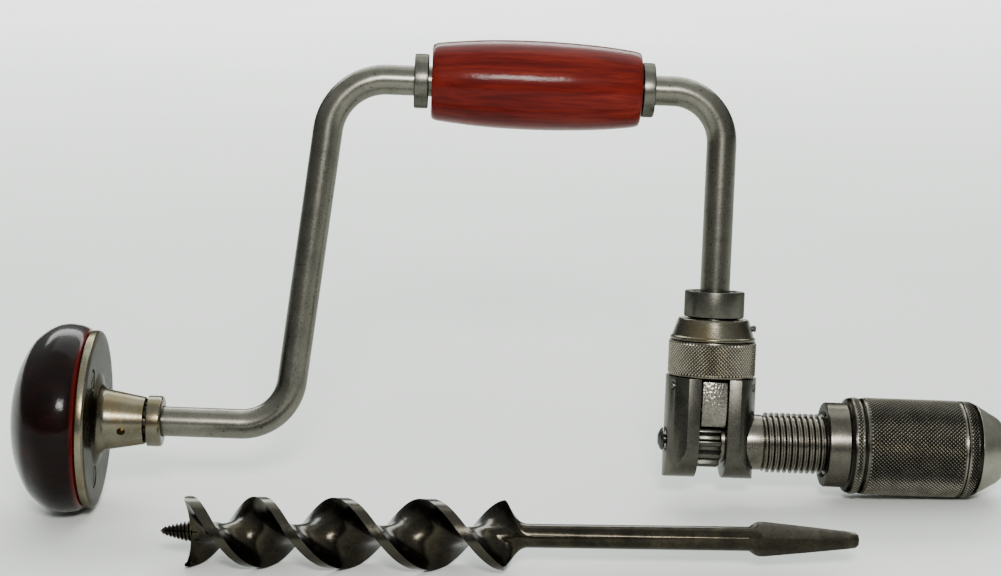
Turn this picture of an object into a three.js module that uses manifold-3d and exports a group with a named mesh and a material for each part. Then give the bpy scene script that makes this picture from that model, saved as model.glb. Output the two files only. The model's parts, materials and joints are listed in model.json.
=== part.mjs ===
// Carpenter's ratchet brace with a loose auger bit. Millimetres, +Z up.
//
// The brace stands on the rim of its round head and on its chuck, with the crank leaning back,
// and the bit lies on the same floor in front of it. The origin is the middle of the object's
// footprint, at floor level, and +X runs from the head to the chuck.
//
// The brace itself is drawn in its own straight frame: x runs along the turning axis from the
// widest circle of the head towards the chuck, z is the direction of the crank's throw, and y
// points to the back. Two nested groups then lean it back and drop its chuck to the floor.

import * as THREE from 'three';
import { mergeVertices } from 'three/addons/utils/BufferGeometryUtils.js';
import Module from 'manifold-3d';

const wasm = await Module();
wasm.setup();

// ---------------------------------------------------------------- driving dimensions

const CLEAR = 0.3; // running gap between neighbouring pieces

// Crank: half the 12 inch sweep, and where its two arms meet the turning axis
const THROW = 152.4;
const ROD_R = 6.55;
const ROD_START = -1.5;
const LEFT_ARM_FOOT = 95.7;
const LEFT_ARM_TOP = 112.1;
const ARM_X = 281.3; // the right arm, square to the turning axis, carries the ratchet
const ROD_END_Z = 47.2;
const BEND_LOW_R = 22;
const BEND_HIGH_R = 25.4;
const BEND_RIGHT_R = 22;

// Head
const HEAD_R = 41.5;
const HEAD_BACK = -23.1;
const PLATE_BACK = 10.2;
const PLATE_FRONT = 14.2;
const PLATE_R = 38.8;
const HUB_END = 34.5;
const HEAD_SCREWS = 3;
const HEAD_SCREW_CIRCLE = 25.5;
const HEAD_SCREW_START = 43; // degrees from straight up, towards the front
const OIL_HOLE_X = 25.6;
const OIL_HOLE_BELOW = 18; // degrees below straight front
const WRIST_BALLS = 8;
const WRIST_BALL_R = 1.2;
const WRIST_BALL_CIRCLE = 8.2;
const WRIST_BALL_X = 35.1;

// Grip
const GRIP_FROM = 153.9;
const GRIP_TO = 244.6;
const GRIP_COLLAR_R = 11.9;
const GRIP_COLLARS = { left: [146.4, 152.6], right: [245.2, 250.6] };

// Ratchet head, on the right arm's axis
const FORK_R = 19.85;
const FORK_HALF_DEPTH = 16.2; // flats front and back, and the round lower end
const FORK_TOP = 28.6;
const SLOT_HALF_WIDTH = 6;
const SLOT_TOP = 38.5;
const STEM_R = 11.2;
const STEM_NECK_R = 9.5;
const STEM_SHOULDER = 54.2;
const STEM_TOP = 65.6;
const SELECTOR_R = 19.2;
const SELECTOR_BORE = STEM_R + 0.35;
const PAWL_PIN_Y = 8.5;
const PAWL_PIN_Z = 24.6;
const PAWL_PIN_R = 1.4;
const DETENT_Z = 41.6;

// Ratchet wheel and spindle
const TEETH = 12;
const WHEEL_TIP_R = 11.7;
const WHEEL_ROOT_R = 8.9;
const WHEEL_FROM = 275.6;
const WHEEL_TO = 285.6;
const SEAT_HALF = 5.2; // square seat of the wheel
const JOURNAL_LEFT_R = 5.2;
const JOURNAL_MID_R = 9.0;
const JOURNAL_RIGHT_R = 12.2;
const THRUST_X = 291.6;
const THREAD_FROM = 304.2;
const THREAD_TO = 360;
const THREAD_R = 13.2;
const SPINDLE_NOSE_R = 12.5;
const SPINDLE_END = 396;
const JAW_SLOT_HALF = 4.8;
const JAW_SLOT_FROM = 368;

// Chuck
const SHELL_BACK = 332;
const SHELL_R = 21.4;
const SHELL_FRONT = 398.2;
const SHELL_RING_R = 18.6;
const SHELL_THREAD_BORE = THREAD_R + 0.35;
const SHELL_CAVITY_R = 18.5;
const NOSE_SKIRT_BACK = 384;
const NOSE_SKIRT_R = 18.15;
const NOSE_BORE_R = 16.0;
const NOSE_CONE_FROM = 398.6;
const NOSE_FRONT = 411.2;
const NOSE_MOUTH_R = 9.3;
const CONE_SLOPE = Math.tan(THREE.MathUtils.degToRad(30));
const RACE_X = 392.5;
const RACE_CIRCLE = 18.9;
const CHUCK_BALLS = 8;
const CHUCK_BALL_R = 1.2;
const JAW_GAP = 5.0; // from the axis to each jaw at rest
const JAW_HALF_THICKNESS = 4.4;
const JAW_BACK = 372;
const JAW_FRONT = 407;

// Auger bit
const BIT_LENGTH = 281;
const BIT_R = 14.3;
const BIT_RIM_HALF = 3.2; // half the width of the twist's outer edges
const BIT_SCREW_LENGTH = 13;
const BIT_TWIST_TO = 141;
const BIT_EDGE_FRONT = 26.3; // where an outer edge first faces the front
const BIT_TURN = 67; // length of one full turn of the twist
const BIT_SHANK_R = 4.85;
const BIT_SHANK_FROM = 150;
const BIT_TANG_FROM = 235.5;
const BIT_TANG_TURN = -22; // degrees
const BIT_TIP = [49.8, -69.3]; // on the floor plan, from the point under the head's centre
const BIT_YAW = -4.55; // degrees, tang towards the front

// Stance
const LEAN = 9.9; // degrees that the crank leans back
const CONTACT_X = 397; // where the chuck's shell meets the floor
const DROP = Math.atan((HEAD_R - SHELL_R) / CONTACT_X);

// Facets round a full turn
const ROUND_BIG = 26;
const ROUND = 20;
const ROUND_SMALL = 12;

// ---------------------------------------------------------------- materials

function metal(color, roughness) {
  return new THREE.MeshStandardMaterial({ color, roughness, metalness: 1 });
}

const MATERIALS = {
  lacquered_head: new THREE.MeshStandardMaterial({ color: 0x2a0f0d, roughness: 0.18 }),
  lacquered_grip: new THREE.MeshStandardMaterial({ color: 0x7a1c10, roughness: 0.2 }),
  satin_steel: metal(0x8c8a82, 0.38),
  dark_steel: metal(0x5f5c54, 0.5),
  warm_steel: metal(0x8f835f, 0.35),
  spring_steel: metal(0x6b6f76, 0.35),
  bronze: metal(0x9a6f35, 0.4),
  bit_steel: metal(0x3a3026, 0.35),
};

// ---------------------------------------------------------------- geometry helpers

// A closed body with shared vertices, no empty triangles and its faces pointing out.
function closedBody(source) {
  const bare = source.clone();
  bare.deleteAttribute('normal');
  bare.deleteAttribute('uv');
  const merged = mergeVertices(bare, 1e-4);
  const position = merged.getAttribute('position');
  const index = merged.getIndex();
  const triangles = [];
  const a = new THREE.Vector3();
  const b = new THREE.Vector3();
  const c = new THREE.Vector3();
  let volume = 0;
  for (let i = 0; i < index.count; i += 3) {
    const [p, q, r] = [index.getX(i), index.getX(i + 1), index.getX(i + 2)];
    if (p === q || q === r || r === p) continue;
    triangles.push([p, q, r]);
    a.fromBufferAttribute(position, p);
    b.fromBufferAttribute(position, q);
    c.fromBufferAttribute(position, r);
    volume += a.dot(b.cross(c)) / 6;
  }
  const outward = volume > 0 ? triangles : triangles.map(([p, q, r]) => [p, r, q]);
  const body = new THREE.BufferGeometry();
  body.setAttribute('position', position.clone());
  body.setIndex(outward.flat());
  return body;
}

function toSolid(geometry) {
  const body = closedBody(geometry);
  return new wasm.Manifold(new wasm.Mesh({
    numProp: 3,
    vertProperties: new Float32Array(body.getAttribute('position').array),
    triVerts: new Uint32Array(body.getIndex().array),
  }));
}

function fromSolid(solid) {
  const mesh = solid.getMesh();
  const body = new THREE.BufferGeometry();
  body.setAttribute('position', new THREE.BufferAttribute(new Float32Array(mesh.vertProperties), 3));
  body.setIndex(new THREE.BufferAttribute(new Uint32Array(mesh.triVerts), 1));
  return body;
}

function join(...geometries) {
  return fromSolid(geometries.map(toSolid).reduce((all, next) => all.add(next)));
}

function cut(geometry, ...tools) {
  return fromSolid(tools.map(toSolid).reduce((rest, tool) => rest.subtract(tool), toSolid(geometry)));
}

function intersect(first, second) {
  return fromSolid(toSolid(first).intersect(toSolid(second)));
}

// Profiles are [distance along the axis, radius] pairs. A ring's profile closes on itself.
function latheProfile(profile, segments) {
  const points = profile.map(([along, radius]) => new THREE.Vector2(radius, along));
  const onAxis = profile[0][1] === 0 && profile.at(-1)[1] === 0;
  if (!onAxis) points.push(points[0].clone());
  return new THREE.LatheGeometry(points, segments);
}

// Turned about the brace's x axis
function turned(profile, segments = ROUND) {
  return latheProfile(profile, segments).rotateZ(-Math.PI / 2);
}

// Turned about the upright axis of the right arm
function turnedUp(profile, segments = ROUND) {
  return latheProfile(profile, segments).rotateX(Math.PI / 2).translate(ARM_X, 0, 0);
}

// A round bar from one end to the other
function bar(from, to, radius, segments = ROUND_SMALL) {
  const start = new THREE.Vector3(...from);
  const end = new THREE.Vector3(...to);
  const along = end.clone().sub(start);
  const turn = new THREE.Quaternion().setFromUnitVectors(new THREE.Vector3(0, 1, 0), along.clone().normalize());
  return new THREE.CylinderGeometry(radius, radius, along.length(), segments)
    .applyQuaternion(turn)
    .translate(...start.add(end).multiplyScalar(0.5));
}

function block([x0, x1], [y0, y1], [z0, z1]) {
  return new THREE.BoxGeometry(x1 - x0, y1 - y0, z1 - z0)
    .translate((x0 + x1) / 2, (y0 + y1) / 2, (z0 + z1) / 2);
}

// A flat shape, always drawn anticlockwise so that its holes are walled the right way round
function outline(points, holes = []) {
  const corners = points.map(([a, b]) => new THREE.Vector2(a, b));
  if (THREE.ShapeUtils.isClockWise(corners)) corners.reverse();
  const shape = new THREE.Shape(corners);
  shape.holes = holes.map((hole) => new THREE.Path(hole.map(([a, b]) => new THREE.Vector2(a, b))));
  return shape;
}

// An outline in the y-z plane, extruded along x
function plateAcross(shape, x0, x1) {
  const geometry = new THREE.ExtrudeGeometry(shape, { depth: x1 - x0, bevelEnabled: false, curveSegments: 12 });
  const basis = new THREE.Matrix4().makeBasis(
    new THREE.Vector3(0, 1, 0),
    new THREE.Vector3(0, 0, 1),
    new THREE.Vector3(1, 0, 0),
  );
  return geometry.applyMatrix4(basis).translate(x0, 0, 0);
}

// An outline in the x-z plane, as thick as twice halfThickness about y = 0
function plateAlong(shape, halfThickness) {
  const geometry = new THREE.ExtrudeGeometry(shape, { depth: 2 * halfThickness, bevelEnabled: false });
  return geometry.rotateX(Math.PI / 2).translate(0, halfThickness, 0);
}

// A straight-sided path with round bends, stepped only where it bends
class BentPath extends THREE.Curve {
  constructor(corners, bendRadii, stepsPerBend) {
    super();
    const points = corners.map((corner) => new THREE.Vector3(...corner));
    this.stations = [];
    this.addStation(points[0], points[1].clone().sub(points[0]));
    for (let i = 1; i < points.length - 1; i++) {
      this.addBend(points[i - 1], points[i], points[i + 1], bendRadii[i - 1], stepsPerBend);
    }
    this.addStation(points.at(-1), points.at(-1).clone().sub(points.at(-2)));
  }

  addStation(point, direction) {
    this.stations.push({ point: point.clone(), direction: direction.clone().normalize() });
  }

  addBend(before, corner, after, radius, steps) {
    const arriving = corner.clone().sub(before).normalize();
    const leaving = after.clone().sub(corner).normalize();
    const angle = arriving.angleTo(leaving);
    const axis = arriving.clone().cross(leaving).normalize();
    const start = corner.clone().addScaledVector(arriving, -radius * Math.tan(angle / 2));
    const centre = start.clone().addScaledVector(axis.clone().cross(arriving), radius);
    for (let step = 0; step <= steps; step++) {
      const turn = (angle * step) / steps;
      const arm = start.clone().sub(centre).applyAxisAngle(axis, turn);
      this.addStation(centre.clone().add(arm), arriving.clone().applyAxisAngle(axis, turn));
    }
  }

  station(t) {
    return this.stations[Math.round(t * (this.stations.length - 1))];
  }

  getPoint(t) {
    return this.station(t).point.clone();
  }

  getPointAt(t) {
    return this.getPoint(t);
  }

  getTangentAt(t) {
    return this.station(t).direction.clone();
  }
}

class Helix extends THREE.Curve {
  constructor(radius, length, turns) {
    super();
    Object.assign(this, { radius, length, turns });
  }

  getPoint(t) {
    const angle = 2 * Math.PI * this.turns * t;
    return new THREE.Vector3(
      this.radius * Math.cos(angle),
      this.length * (t - 0.5),
      this.radius * Math.sin(angle),
    );
  }
}

function circleShape(radius, sides) {
  const points = [];
  for (let i = 0; i < sides; i++) {
    const angle = (2 * Math.PI * i) / sides;
    points.push([radius * Math.cos(angle), radius * Math.sin(angle)]);
  }
  return outline(points);
}

function wire(path, radius, steps, sides) {
  return new THREE.ExtrudeGeometry(circleShape(radius, sides), { extrudePath: path, steps });
}

// ---------------------------------------------------------------- scene graph

const group = new THREE.Group();
const footprint = new THREE.Group(); // moves the whole object so that the origin is its footprint's middle
const stance = new THREE.Group(); // drops the chuck to the floor
const brace = new THREE.Group(); // leans the crank back
const bitPlace = new THREE.Group();
group.add(footprint);
footprint.add(stance, bitPlace);
stance.add(brace);

function addPiece(parent, name, geometry, material) {
  const mesh = new THREE.Mesh(closedBody(geometry), MATERIALS[material]);
  mesh.name = name;
  parent.add(mesh);
  return mesh;
}

function addToBrace(name, geometry, material) {
  return addPiece(brace, name, geometry, material);
}

// Copies of one ball round the x axis at x = at
function addBallRing(prefix, count, ballRadius, circle, at) {
  for (let i = 0; i < count; i++) {
    const angle = (2 * Math.PI * (i + 0.5)) / count;
    const ball = addToBrace(`${prefix}_${i + 1}`, new THREE.SphereGeometry(ballRadius, 6, 5), 'spring_steel');
    ball.position.set(at, circle * Math.cos(angle), circle * Math.sin(angle));
  }
}

// ---------------------------------------------------------------- crank and grip

function makeCrankRod() {
  const corners = [
    [ROD_START, 0, 0],
    [LEFT_ARM_FOOT, 0, 0],
    [LEFT_ARM_TOP, 0, THROW],
    [ARM_X, 0, THROW],
    [ARM_X, 0, ROD_END_Z],
  ];
  const path = new BentPath(corners, [BEND_LOW_R, BEND_HIGH_R, BEND_RIGHT_R], 7);
  return wire(path, ROD_R, path.stations.length - 1, ROUND_SMALL);
}

function makeCollar([from, to], bore, radius, edge) {
  return turned([
    [from, bore],
    [from, radius - edge],
    [from + edge, radius],
    [to - edge, radius],
    [to, radius - edge],
    [to, bore],
  ]);
}

function makeGripSleeve() {
  const bore = ROD_R + CLEAR;
  return turned([
    [GRIP_FROM, bore],
    [GRIP_FROM, 15.2],
    [155.2, 16.4],
    [165.5, 17.9],
    [178, 19],
    [198, 19.35],
    [214, 19.05],
    [229, 18.1],
    [243.2, 16.3],
    [GRIP_TO, 15.1],
    [GRIP_TO, bore],
  ], ROUND_BIG).translate(0, 0, THROW);
}

addToBrace('crank_rod', makeCrankRod(), 'satin_steel');
addToBrace('grip_sleeve', makeGripSleeve(), 'lacquered_grip');
for (const [side, span] of Object.entries(GRIP_COLLARS)) {
  const collar = makeCollar(span, ROD_R + CLEAR, GRIP_COLLAR_R, 0.6).translate(0, 0, THROW);
  addToBrace(`grip_collar_${side}`, collar, 'satin_steel');
}

// ---------------------------------------------------------------- head

function headScrewPlaces() {
  const places = [];
  for (let i = 0; i < HEAD_SCREWS; i++) {
    const angle = THREE.MathUtils.degToRad(HEAD_SCREW_START + (360 / HEAD_SCREWS) * i);
    places.push([-HEAD_SCREW_CIRCLE * Math.sin(angle), HEAD_SCREW_CIRCLE * Math.cos(angle)]);
  }
  return places;
}

const NUT_ROOM_R = 12.2;
const SCREW_SHANK_R = 1.9;
const SCREW_TIP_X = -6;

function makeHeadKnob() {
  const knob = turned([
    [HEAD_BACK, 0],
    [-22.6, 7],
    [-21.2, 15.8],
    [-18.5, 24.7],
    [-13.6, 33.6],
    [-8.7, 38.1],
    [-4, 40.7],
    [0, HEAD_R],
    [4.5, 41.2],
    [PLATE_BACK - CLEAR, 39.4],
    [PLATE_BACK - CLEAR, NUT_ROOM_R],
    [-3, NUT_ROOM_R],
    [-3, 0],
  ], ROUND_BIG);
  const pilotHoles = headScrewPlaces().map(([y, z]) => (
    bar([SCREW_TIP_X - 1, y, z], [PLATE_BACK + 1, y, z], SCREW_SHANK_R + CLEAR, 8)
  ));
  return cut(knob, ...pilotHoles);
}

function makeHeadPlate() {
  const bore = 8.6;
  const raceR = WRIST_BALL_CIRCLE + WRIST_BALL_R + CLEAR;
  const plate = turned([
    [PLATE_BACK, bore],
    [PLATE_BACK, 38.3],
    [11, PLATE_R],
    [12.7, PLATE_R],
    [13.8, 38.1],
    [PLATE_FRONT, 37],
    [PLATE_FRONT, 20.5],
    [15, 16.6],
    [16.6, 14],
    [18.2, 13.2],
    [HUB_END - 0.5, 10.55],
    [HUB_END, 10.2],
    [HUB_END, raceR],
    [HUB_END - 1, raceR],
    [HUB_END - 1, bore],
  ], ROUND_BIG);
  const screwHoles = headScrewPlaces().flatMap(([y, z]) => [
    bar([PLATE_BACK - 1, y, z], [PLATE_FRONT + 1, y, z], SCREW_SHANK_R + CLEAR, 12),
    turned([[11.2, 0], [11.2, 2.3], [14.6, 5.7], [14.6, 0]], 12).translate(0, y, z),
  ]);
  const below = THREE.MathUtils.degToRad(OIL_HOLE_BELOW);
  const reach = 14;
  const oilHole = bar(
    [OIL_HOLE_X, -7 * Math.cos(below), -7 * Math.sin(below)],
    [OIL_HOLE_X, -reach * Math.cos(below), -reach * Math.sin(below)],
    1.75,
    12,
  );
  return cut(plate, ...screwHoles, oilHole);
}

function makeHeadScrew() {
  return turned([
    [SCREW_TIP_X, 0],
    [SCREW_TIP_X + 4, SCREW_SHANK_R],
    [11.3, SCREW_SHANK_R],
    [13.5, 4.05],
    [13.9, 4.05],
    [13.9, 0],
  ], 12);
}

function makeHexNut() {
  const hexagon = [];
  const corner = 11;
  for (let i = 0; i < 6; i++) {
    const angle = (Math.PI * i) / 3;
    hexagon.push([corner * Math.cos(angle), corner * Math.sin(angle)]);
  }
  const hole = circleShape(ROD_R + CLEAR, ROUND_SMALL).getPoints().map((p) => [p.x, p.y]);
  return plateAcross(outline(hexagon, [hole]), 0, 7.6);
}

addToBrace('head_knob', makeHeadKnob(), 'lacquered_head');
addToBrace('head_plate', makeHeadPlate(), 'satin_steel');
headScrewPlaces().forEach(([y, z], i) => {
  addToBrace(`head_screw_${i + 1}`, makeHeadScrew().translate(0, y, z), 'satin_steel');
});
addToBrace('head_bushing', makeCollar([12, 33], ROD_R + CLEAR, 8.3, 0.3), 'bronze');
addToBrace('head_washer', makeCollar([8, PLATE_BACK - CLEAR], ROD_R + CLEAR, 11, 0.3), 'spring_steel');
addToBrace('head_nut', makeHexNut(), 'dark_steel');
addBallRing('wrist_ball', WRIST_BALLS, WRIST_BALL_R, WRIST_BALL_CIRCLE, WRIST_BALL_X);

function makeWristCollar() {
  const bore = ROD_R + CLEAR;
  const raceR = WRIST_BALL_CIRCLE + WRIST_BALL_R + CLEAR;
  return turned([
    [36.7, bore],
    [36.7, raceR],
    [35.7, raceR],
    [35.7, 10.4],
    [36.5, 11.1],
    [41.4, 11.1],
    [42.3, 10.1],
    [42.3, bore],
  ]);
}

addToBrace('wrist_collar', makeWristCollar(), 'warm_steel');

// ---------------------------------------------------------------- ratchet head

function makeRatchetBody() {
  // The flat-sided block with a round lower end, rounded again to the arm's own circle
  const side = new THREE.Shape();
  side.moveTo(FORK_HALF_DEPTH, 0);
  side.lineTo(FORK_HALF_DEPTH, FORK_TOP);
  side.lineTo(-FORK_HALF_DEPTH, FORK_TOP);
  side.lineTo(-FORK_HALF_DEPTH, 0);
  side.absarc(0, 0, FORK_HALF_DEPTH, Math.PI, 2 * Math.PI, false);
  const sideBlock = plateAcross(side, ARM_X - 30, ARM_X + 30);
  const roundBlock = turnedUp([[-20, 0], [-20, FORK_R], [FORK_TOP, FORK_R], [FORK_TOP, 0]], 40);
  const stem = turnedUp([
    [FORK_TOP - 2, 0],
    [FORK_TOP - 2, STEM_R],
    [STEM_SHOULDER, STEM_R],
    [STEM_SHOULDER, STEM_NECK_R],
    [STEM_TOP, STEM_NECK_R],
    [STEM_TOP, 0],
  ]);
  const slot = block([ARM_X - SLOT_HALF_WIDTH, ARM_X + SLOT_HALF_WIDTH], [-30, 30], [-30, SLOT_TOP]);
  const rodSocket = bar([ARM_X, 0, ROD_END_Z - 0.5], [ARM_X, 0, STEM_TOP + 5], ROD_R + CLEAR, ROUND_SMALL);
  const leftBore = bar([ARM_X - 30, 0, 0], [ARM_X, 0, 0], JOURNAL_LEFT_R + CLEAR, ROUND_SMALL);
  const rightBore = bar([ARM_X, 0, 0], [ARM_X + 30, 0, 0], JOURNAL_MID_R + CLEAR, ROUND);
  const rightCounterbore = bar([THRUST_X - CLEAR, 0, 0], [ARM_X + 30, 0, 0], JOURNAL_RIGHT_R + CLEAR, ROUND);
  const pinHoles = [-1, 1].map((end) => (
    bar([ARM_X - 30, end * PAWL_PIN_Y, PAWL_PIN_Z], [ARM_X + 30, end * PAWL_PIN_Y, PAWL_PIN_Z], PAWL_PIN_R + CLEAR, 8)
  ));
  const detentHole = bar([ARM_X, 4.2, DETENT_Z], [ARM_X, STEM_R + 3, DETENT_Z], 1.85, 10);
  return cut(
    join(intersect(sideBlock, roundBlock), stem),
    slot, rodSocket, leftBore, rightBore, rightCounterbore, ...pinHoles, detentHole,
  );
}

function makeArmCollar() {
  return turnedUp([
    [STEM_SHOULDER + CLEAR, STEM_NECK_R + CLEAR],
    [STEM_SHOULDER + CLEAR, 13.15],
    [65.3, 13.15],
    [66, 12.5],
    [66, STEM_NECK_R + CLEAR],
  ]);
}

function makeSelectorRing() {
  return turnedUp([
    [28.95, 15],
    [28.95, 18.8],
    [29.4, SELECTOR_R],
    [43.9, SELECTOR_R],
    [44.3, 18.8],
    [44.3, SELECTOR_BORE],
    [43.4, SELECTOR_BORE],
    [43.4, 13],
    [39.8, 13],
    [39.8, SELECTOR_BORE],
    [38.9, SELECTOR_BORE],
    [38.9, 15],
  ], ROUND_BIG);
}

const SELECTOR_SCREW = { z: 50, from: 13.2, head: 17.2, radius: 1.2, headRadius: 1.4 };

function makeSelectorCap() {
  const cap = turnedUp([
    [44.65, SELECTOR_BORE],
    [44.65, 18.7],
    [45.9, 18.7],
    [46.3, 18],
    [53.2, 15.7],
    [53.9, 15.3],
    [53.9, SELECTOR_BORE],
  ], ROUND_BIG);
  const { z, radius } = SELECTOR_SCREW;
  return cut(cap, bar([ARM_X + 10, 0, z], [ARM_X + 25, 0, z], radius + CLEAR, 8));
}

function makeSelectorScrew() {
  const { z, from, head, radius, headRadius } = SELECTOR_SCREW;
  return join(
    bar([ARM_X + from, 0, z], [ARM_X + head + 0.5, 0, z], radius, 8),
    bar([ARM_X + head, 0, z], [ARM_X + head + 1.6, 0, z], headRadius, 10),
  );
}

// A pawl, drawn in the y-z plane; its nose reaches into the tooth gap at 45 degrees and its tail
// stands up inside the selector ring
function makePawl(towards) {
  const points = [
    [15.3, 8.2],
    [15.6, 9.2],
    [15.6, 27.2],
    [12.6, 29.4],
    [12.6, 36.4],
    [11.8, 37.2],
    [8.2, 37.2],
    [7.2, 36.4],
    [7, 31],
    [5.4, 26.4],
    [5.4, 22.4],
    [8, 17],
    [8.7, 11.8],
    [7.78, 9.62],
    [6.75, 7.9],
    [7.6, 7.1],
    [9.62, 7.9],
    [10.8, 7.4],
  ];
  const pinHole = [];
  for (let i = 0; i < 10; i++) {
    const angle = (2 * Math.PI * i) / 10;
    const r = PAWL_PIN_R + CLEAR;
    pinHole.push([towards * (PAWL_PIN_Y + r * Math.cos(angle)), PAWL_PIN_Z + r * Math.sin(angle)]);
  }
  const shape = outline(points.map(([y, z]) => [towards * y, z]), [pinHole]);
  const half = SLOT_HALF_WIDTH - 0.6;
  return plateAcross(shape, ARM_X - half, ARM_X + half);
}

function makePawlPin(towards) {
  const y = towards * PAWL_PIN_Y;
  const reach = Math.sqrt(FORK_R ** 2 - PAWL_PIN_Y ** 2) + 0.4;
  return bar([ARM_X - reach, y, PAWL_PIN_Z], [ARM_X + reach, y, PAWL_PIN_Z], PAWL_PIN_R, 10);
}

function makePawlSpring() {
  return wire(new Helix(2.4, 8.6, 5), 0.45, 50, 5).translate(ARM_X, 0, 33.4);
}

function makeDetentSpring() {
  return wire(new Helix(1.05, 3.8, 4), 0.28, 32, 5).translate(ARM_X, 6.6, DETENT_Z);
}

addToBrace('ratchet_body', makeRatchetBody(), 'satin_steel');
addToBrace('arm_collar', makeArmCollar(), 'satin_steel');
addToBrace('selector_ring', makeSelectorRing(), 'dark_steel');
addToBrace('selector_cap', makeSelectorCap(), 'warm_steel');
addToBrace('selector_screw', makeSelectorScrew(), 'satin_steel');
for (const [side, towards] of [['front', -1], ['rear', 1]]) {
  addToBrace(`pawl_${side}`, makePawl(towards), 'dark_steel');
  addToBrace(`pawl_pin_${side}`, makePawlPin(towards), 'satin_steel');
}
addToBrace('pawl_spring', makePawlSpring(), 'spring_steel');
addToBrace('detent_spring', makeDetentSpring(), 'spring_steel');
addToBrace('detent_ball', new THREE.SphereGeometry(1.5, 6, 5), 'spring_steel').position.set(ARM_X, 10.6, DETENT_Z);

// ---------------------------------------------------------------- ratchet wheel and spindle

function makeRatchetWheel() {
  const points = [];
  const tipHalf = THREE.MathUtils.degToRad(4.5);
  const rootHalf = THREE.MathUtils.degToRad(5.5);
  for (let i = 0; i < TEETH; i++) {
    const middle = (2 * Math.PI * i) / TEETH;
    const gap = middle + Math.PI / TEETH;
    for (const [radius, angle] of [
      [WHEEL_TIP_R, middle - tipHalf],
      [WHEEL_TIP_R, middle + tipHalf],
      [WHEEL_ROOT_R, gap - rootHalf],
      [WHEEL_ROOT_R, gap + rootHalf],
    ]) {
      points.push([radius * Math.cos(angle), radius * Math.sin(angle)]);
    }
  }
  const half = SEAT_HALF + CLEAR;
  const seat = [[-half, -half], [-half, half], [half, half], [half, -half]];
  return plateAcross(outline(points, [seat]), WHEEL_FROM, WHEEL_TO);
}

function makeSpindle() {
  const shaft = turned([
    [WHEEL_TO + CLEAR, 0],
    [WHEEL_TO + CLEAR, JOURNAL_MID_R],
    [THRUST_X, JOURNAL_MID_R],
    [THRUST_X, JOURNAL_RIGHT_R],
    [THREAD_FROM, JOURNAL_RIGHT_R],
    [THREAD_FROM + 0.8, THREAD_R],
    [THREAD_TO, THREAD_R],
    [THREAD_TO, SPINDLE_NOSE_R],
    [SPINDLE_END - 0.8, SPINDLE_NOSE_R],
    [SPINDLE_END, SPINDLE_NOSE_R - 0.8],
    [SPINDLE_END, 0],
  ]);
  const seat = block([WHEEL_FROM, WHEEL_TO + 2], [-SEAT_HALF, SEAT_HALF], [-SEAT_HALF, SEAT_HALF]);
  const journal = bar([262.4, 0, 0], [WHEEL_FROM + 1, 0, 0], JOURNAL_LEFT_R, ROUND_SMALL);
  const jawSlot = block([JAW_SLOT_FROM, SPINDLE_END + 2], [-JAW_SLOT_HALF, JAW_SLOT_HALF], [-20, 20]);
  const screwHole = bar([255, 0, 0], [272.5, 0, 0], 2.3, 10);
  return cut(join(shaft, seat, journal), jawSlot, screwHole);
}

function makeEndScrew() {
  return turned([
    [258.9, 0],
    [259.1, 2],
    [259.9, 4],
    [261.1, 5.4],
    [261.1, 2],
    [271, 2],
    [271, 0],
  ], ROUND_SMALL);
}

addToBrace('ratchet_wheel', makeRatchetWheel(), 'dark_steel');
addToBrace('chuck_spindle', makeSpindle(), 'satin_steel');
addToBrace('spindle_end_screw', makeEndScrew(), 'dark_steel');

// ---------------------------------------------------------------- chuck

function makeShell() {
  const raceR = RACE_CIRCLE + CHUCK_BALL_R + CLEAR;
  const raceHalf = CHUCK_BALL_R + CLEAR;
  return turned([
    [SHELL_BACK + 1.4, SHELL_THREAD_BORE],
    [SHELL_BACK, SHELL_THREAD_BORE + 1.4],
    [SHELL_BACK, SHELL_RING_R - 1],
    [SHELL_BACK + 1, SHELL_RING_R],
    [341, SHELL_RING_R],
    [341.5, 20.3],
    [343, 21.1],
    [346, 21.1],
    [347.6, 20.5],
    [348.3, 20.5],
    [349.1, SHELL_R],
    [391.4, SHELL_R],
    [391.9, 20.8],
    [392.5, 20.8],
    [393, SHELL_R],
    [396.6, 21.2],
    [SHELL_FRONT, 20.5],
    [SHELL_FRONT, SHELL_CAVITY_R],
    [RACE_X + raceHalf, SHELL_CAVITY_R],
    [RACE_X + raceHalf, raceR],
    [RACE_X - raceHalf, raceR],
    [RACE_X - raceHalf, SHELL_CAVITY_R],
    [351, SHELL_CAVITY_R],
    [351, SHELL_THREAD_BORE],
  ], ROUND_BIG);
}

function innerCone(x) {
  return NOSE_BORE_R - CONE_SLOPE * (x - NOSE_CONE_FROM);
}

function makeNose() {
  const grooveR = RACE_CIRCLE - CHUCK_BALL_R - CLEAR;
  const raceHalf = CHUCK_BALL_R + CLEAR;
  const mouthX = NOSE_CONE_FROM + (NOSE_BORE_R - NOSE_MOUTH_R) / CONE_SLOPE;
  return turned([
    [NOSE_SKIRT_BACK, NOSE_BORE_R],
    [NOSE_SKIRT_BACK, NOSE_SKIRT_R],
    [RACE_X - raceHalf, NOSE_SKIRT_R],
    [RACE_X - raceHalf, grooveR],
    [RACE_X + raceHalf, grooveR],
    [RACE_X + raceHalf, NOSE_SKIRT_R],
    [SHELL_FRONT + CLEAR, NOSE_SKIRT_R],
    [SHELL_FRONT + CLEAR, 20.3],
    [408.6, 14.6],
    [410.3, 13.1],
    [NOSE_FRONT, 11.8],
    [NOSE_FRONT, NOSE_MOUTH_R],
    [mouthX, NOSE_MOUTH_R],
    [NOSE_CONE_FROM, NOSE_BORE_R],
  ], ROUND_BIG);
}

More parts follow.
